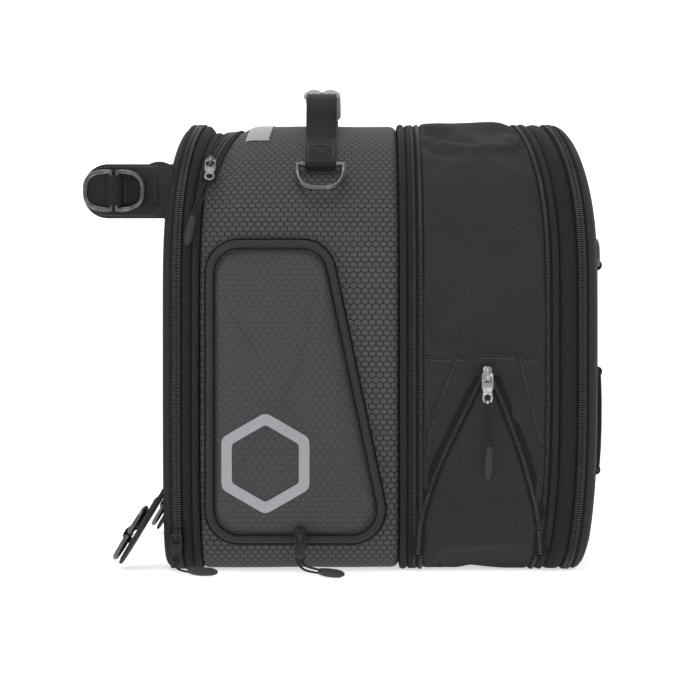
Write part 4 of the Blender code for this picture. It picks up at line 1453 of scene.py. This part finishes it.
def make_lid_straps():
    """Two webbing straps with their stitched tunnels and rings."""
    for name, side in (("near", -1), ("far", 1)):
        y = side * LID_STRAP_Y
        flat = curve_through([(lid_top(z, 0.0013), y, z) for z in STRAP_HEIGHTS], 4)
        things = [strap("lid_strip", flat, (0, 1, 0), WEBBING_WIDTH, WEBBING)]
        for z in LOOPS_Z + (LID_RING_Z,):
            eye = Vector((lid_top(z, CORD_OUT), y, z))
            ring = [eye + Vector((0.0033 * math.cos(a), 0, 0.0036 * math.sin(a)))
                    for a in (2 * math.pi * k / 18 for k in range(18))]
            things.append(strap("lid_tunnel", ring, (0, 1, 0), WEBBING_WIDTH - 0.001, 0.0013,
                                closed=True))
        put(joined("lid_webbing_" + name, things), SKIN["strap"], "lid", ["lid_strap_" + name])
        out = Vector((1, 0, 0))
        rows = []
        for z in LOOPS_Z:
            for shift in (-0.0065, 0.0065):
                line = [Vector((lid_top(z + shift, 0.0023), y + u / 1000, z + shift))
                        for u in range(-10, 11, 2)]
                rows.append(bars("bar", line, [out] * len(line), 0.0026, 0.0020, 0.00028))
        put(joined("lid_stitches_" + name, rows), SKIN["thread"], "lid")
        eye = (lid_top(LID_RING_Z, CORD_OUT), y, LID_RING_Z)
        d_ring("lid_ring_" + name, axes(eye, (0, 1, 0), (0, 0, -1), (1, 0, 0)), *LID_RING)


def make_lacing():
    """The elastic cord, laced crosswise through the four tunnels."""
    low, high = LOOPS_Z
    edge = LID_STRAP_Y + WEBBING_WIDTH / 2 + 0.002
    inner = LID_STRAP_Y - WEBBING_WIDTH / 2 - 0.002
    middle, swing = (high + low) / 2, (high - low) / 2
    points = []
    for side, bump in ((-1, 0.0), (1, 0.0052)):
        points.append((side * edge, high, 0.0))
        for k in range(9):
            y = side * inner * (1 - k / 4)
            points.append((y, high + (low - high) * k / 8, bump * math.exp(-(y / 0.022) ** 2)))
        points.append((-side * edge, low, 0.0))
        for k in (1, 2, 3, 4):
            a = math.radians(36 * k)
            points.append((-side * (edge + 0.010 * math.sin(a)), middle - swing * math.cos(a), 0))
    line = [Vector((lid_top(z, CORD_OUT + rise), y, z)) for y, z, rise in points]
    line = curve_through(line + line[:1], 4)[:-1]
    cord = tube("lid_lacing", line, CORD_R, Vector((1, 0, 0)), closed=True, sides=12)
    put(cord, SKIN["cord"], "lid", ["lid_cord"])


# ---- zip sliders and pulls ---------------------------------------------------------------

EYE = 0.0042
STRAND_R = 0.0009
GRIP_LENGTH = 0.026
GRIP_OVERLAP = 0.006

# Sliders' places as (x, z) on a side, or as an angle round the rear
EXPANSION_SLIDER = (0.0835, 0.154)
POCKET_SLIDER = (-0.062, 0.0300)
BASE_SLIDER = (-0.1585, 0.0290)
LID_SLIDER = (0.1585, 0.120)
REAR_SLIDER_ANGLE = 42

# Pulls' cords from the puller's hole, in the slider's own axes
STRAIGHT = [(0, -0.022, 0), (0.001, -0.036, 0.001), (0.002, -0.050, 0), (0, -0.082, -0.0004)]
PULL_CURL = 0.134
REAR_HANG = [(u, -s, -s ** 2 / (2 * PULL_CURL))
             for u, s in ((-0.001, 0.022), (-0.006, 0.038), (-0.011, 0.050), (-0.016, 0.074))]
POCKET_LYING = [(0, -0.0215, 0), (0.004, -0.0250, 0.004), (0.012, -0.0262, 0.013),
                (0.020, -0.0262, 0.024), (0.034, -0.0262, 0.036)]
BASE_LYING = [(0, -0.0215, 0), (0.003, -0.0245, 0.005), (0.010, -0.0252, 0.016),
              (0.018, -0.0252, 0.024), (0.034, -0.0252, 0.030)]


def disc(radius, centre, count=20):
    """The outline of a circle."""
    return [Vector((centre[0] + radius * math.cos(a), centre[1] + radius * math.sin(a)))
            for a in (2 * math.pi * k / count for k in range(count))]


def make_slider(name, place, skin):
    """A zip slider: a waisted body and the bridge that holds the pull."""
    body = [(-0.0036, -0.0060), (0.0036, -0.0060), (0.0041, -0.0048), (0.0041, -0.0005),
            (0.0034, 0.0022), (0.0036, 0.0048), (0.0022, 0.0062), (-0.0022, 0.0062),
            (-0.0036, 0.0048), (-0.0034, 0.0022), (-0.0041, -0.0005), (-0.0041, -0.0048)]
    lift = Matrix.Translation((0, 0, 0.0015))
    shape = slab("slider_body", [[Vector(p) for p in body]], 0.0024, place @ lift, 0.0005)
    arch = [(-0.0050, 0.0020), (-0.0044, 0.0050), (-0.0026, 0.0063), (0.0, 0.0066),
            (0.0026, 0.0063), (0.0044, 0.0050), (0.0050, 0.0020)]
    line = [place @ p for p in curve_through([(0, y, z) for y, z in arch], 4)]
    across = (place.to_3x3() @ Vector((1, 0, 0))).normalized()
    bridge = strap("slider_bridge", line, across, 0.0026, 0.0011)
    put(joined(name + "_shape", [shape, bridge]), SKIN[skin], name, [name])


def make_pull(name, place, route, skin):
    """The puller with its round hole, a double cord and a moulded paddle grip."""
    lift = place @ Matrix.Translation((0, 0, EYE))
    outline = [(0.0044, 0.0012), (-0.0044, 0.0012), (-0.0046, -0.0100), (-0.0034, -0.0132),
               (-0.0044, -0.0178), (-0.0034, -0.0215), (0.0, -0.0232), (0.0034, -0.0215),
               (0.0044, -0.0178), (0.0034, -0.0132), (0.0046, -0.0100)]
    outline = fillet(outline, 0.0010, 3)
    window = fillet([(0.0030, -0.0008), (0.0030, -0.0064), (-0.0030, -0.0064),
                     (-0.0030, -0.0008)], 0.0012, 4)
    tab = slab("puller", [outline, window, disc(0.0024, (0, -0.0180))], 0.0014, lift, 0.0004)
    put(tab, SKIN[skin], name)

    start = [(0, -0.0186, 0.0)]
    line = [lift @ p for p in curve_through(start + route, 8)]
    run = lengths(line)
    grip_from = run[-1] - GRIP_LENGTH
    out = (place.to_3x3() @ Vector((0, 0, 1))).normalized()
    cords = []
    lead = [p for p, s in zip(line, run) if s < grip_from + GRIP_OVERLAP]
    for side in (-1, 1):
        strand = []
        for k, (point, along) in enumerate(zip(lead, tangents(lead))):
            across = along.cross(out).normalized()
            spread = 0.0010 + 0.0006 * math.sin(math.pi * k / len(lead))
            strand.append(point + across * side * spread)
        cords.append(tube("strand", strand, STRAND_R, out, sides=8))
    leash = joined(name + "_cord", cords)
    put(leash, SKIN["cord"], name)

    paddle, radii = [], []
    for p, s in zip(line, run):
        if s >= grip_from:
            t = (s - grip_from) / (run[-1] - grip_from)
            paddle.append(p)
            radii.append(0.0026 + 0.0008 * math.sin(math.pi * t) - 0.0012 * ease(t, 0.86, 1.0))
    paddle, radii = paddle[:1] + paddle, [0.0014] + radii
    paddle[0] = paddle[1] - (paddle[2] - paddle[1]).normalized() * 0.0006
    grip = tube(name + "_grip", paddle, radii, out, flat=0.72, sides=14)
    put(grip, SKIN["rubber"], name, [name])


def zip_pair(name, place, route, skin="black"):
    """A slider and its pull."""
    make_slider(name + "_slider", place, skin)
    make_pull(name + "_pull", place, route, skin)


def on_side(x, z, side, out):
    """A placing on a flat side, with the pull hanging down."""
    up, away = Vector((0, 0, 1)), Vector((0, side, 0))
    return axes((x, side * (HALF + out), z), up.cross(away), up, away)


def make_sliders():
    """Every zip's slider and pull, where the CAD has them."""
    zip_pair("expansion", on_side(*EXPANSION_SLIDER, -1, 0.0018), STRAIGHT, "bright")
    a = math.radians(REAR_SLIDER_ANGLE)
    up, away = Vector((0, math.sin(a), math.cos(a))), Vector((0, -math.cos(a), math.sin(a)))
    y, z = on_rear(REAR_SLIDER_ANGLE, 0.0021, -1)
    zip_pair("rear", axes((rear_zip_x(z), y, z), up.cross(away), up, away), REAR_HANG, "gun")
    for name, side in (("near", -1), ("far", 1)):
        for kind, where, out, lying in (("pocket_", POCKET_SLIDER, 0.0086, POCKET_LYING),
                                        ("base_", BASE_SLIDER, 0.0003, BASE_LYING)):
            route = [(-side * u, v, w) for u, v, w in lying]
            zip_pair(kind + name, on_side(*where, side, out), route)
    zip_pair("lid", on_side(*LID_SLIDER, 1, 0.0003), STRAIGHT)


make_camera()
make_floor()
make_lights()
make_body()
make_base()
make_lid()
make_pockets()
make_gusset()
make_rear_zip()
make_strip()
make_handle()
for tab in TABS:
    make_tab(*tab)
make_lid_straps()
make_lacing()
make_sliders()
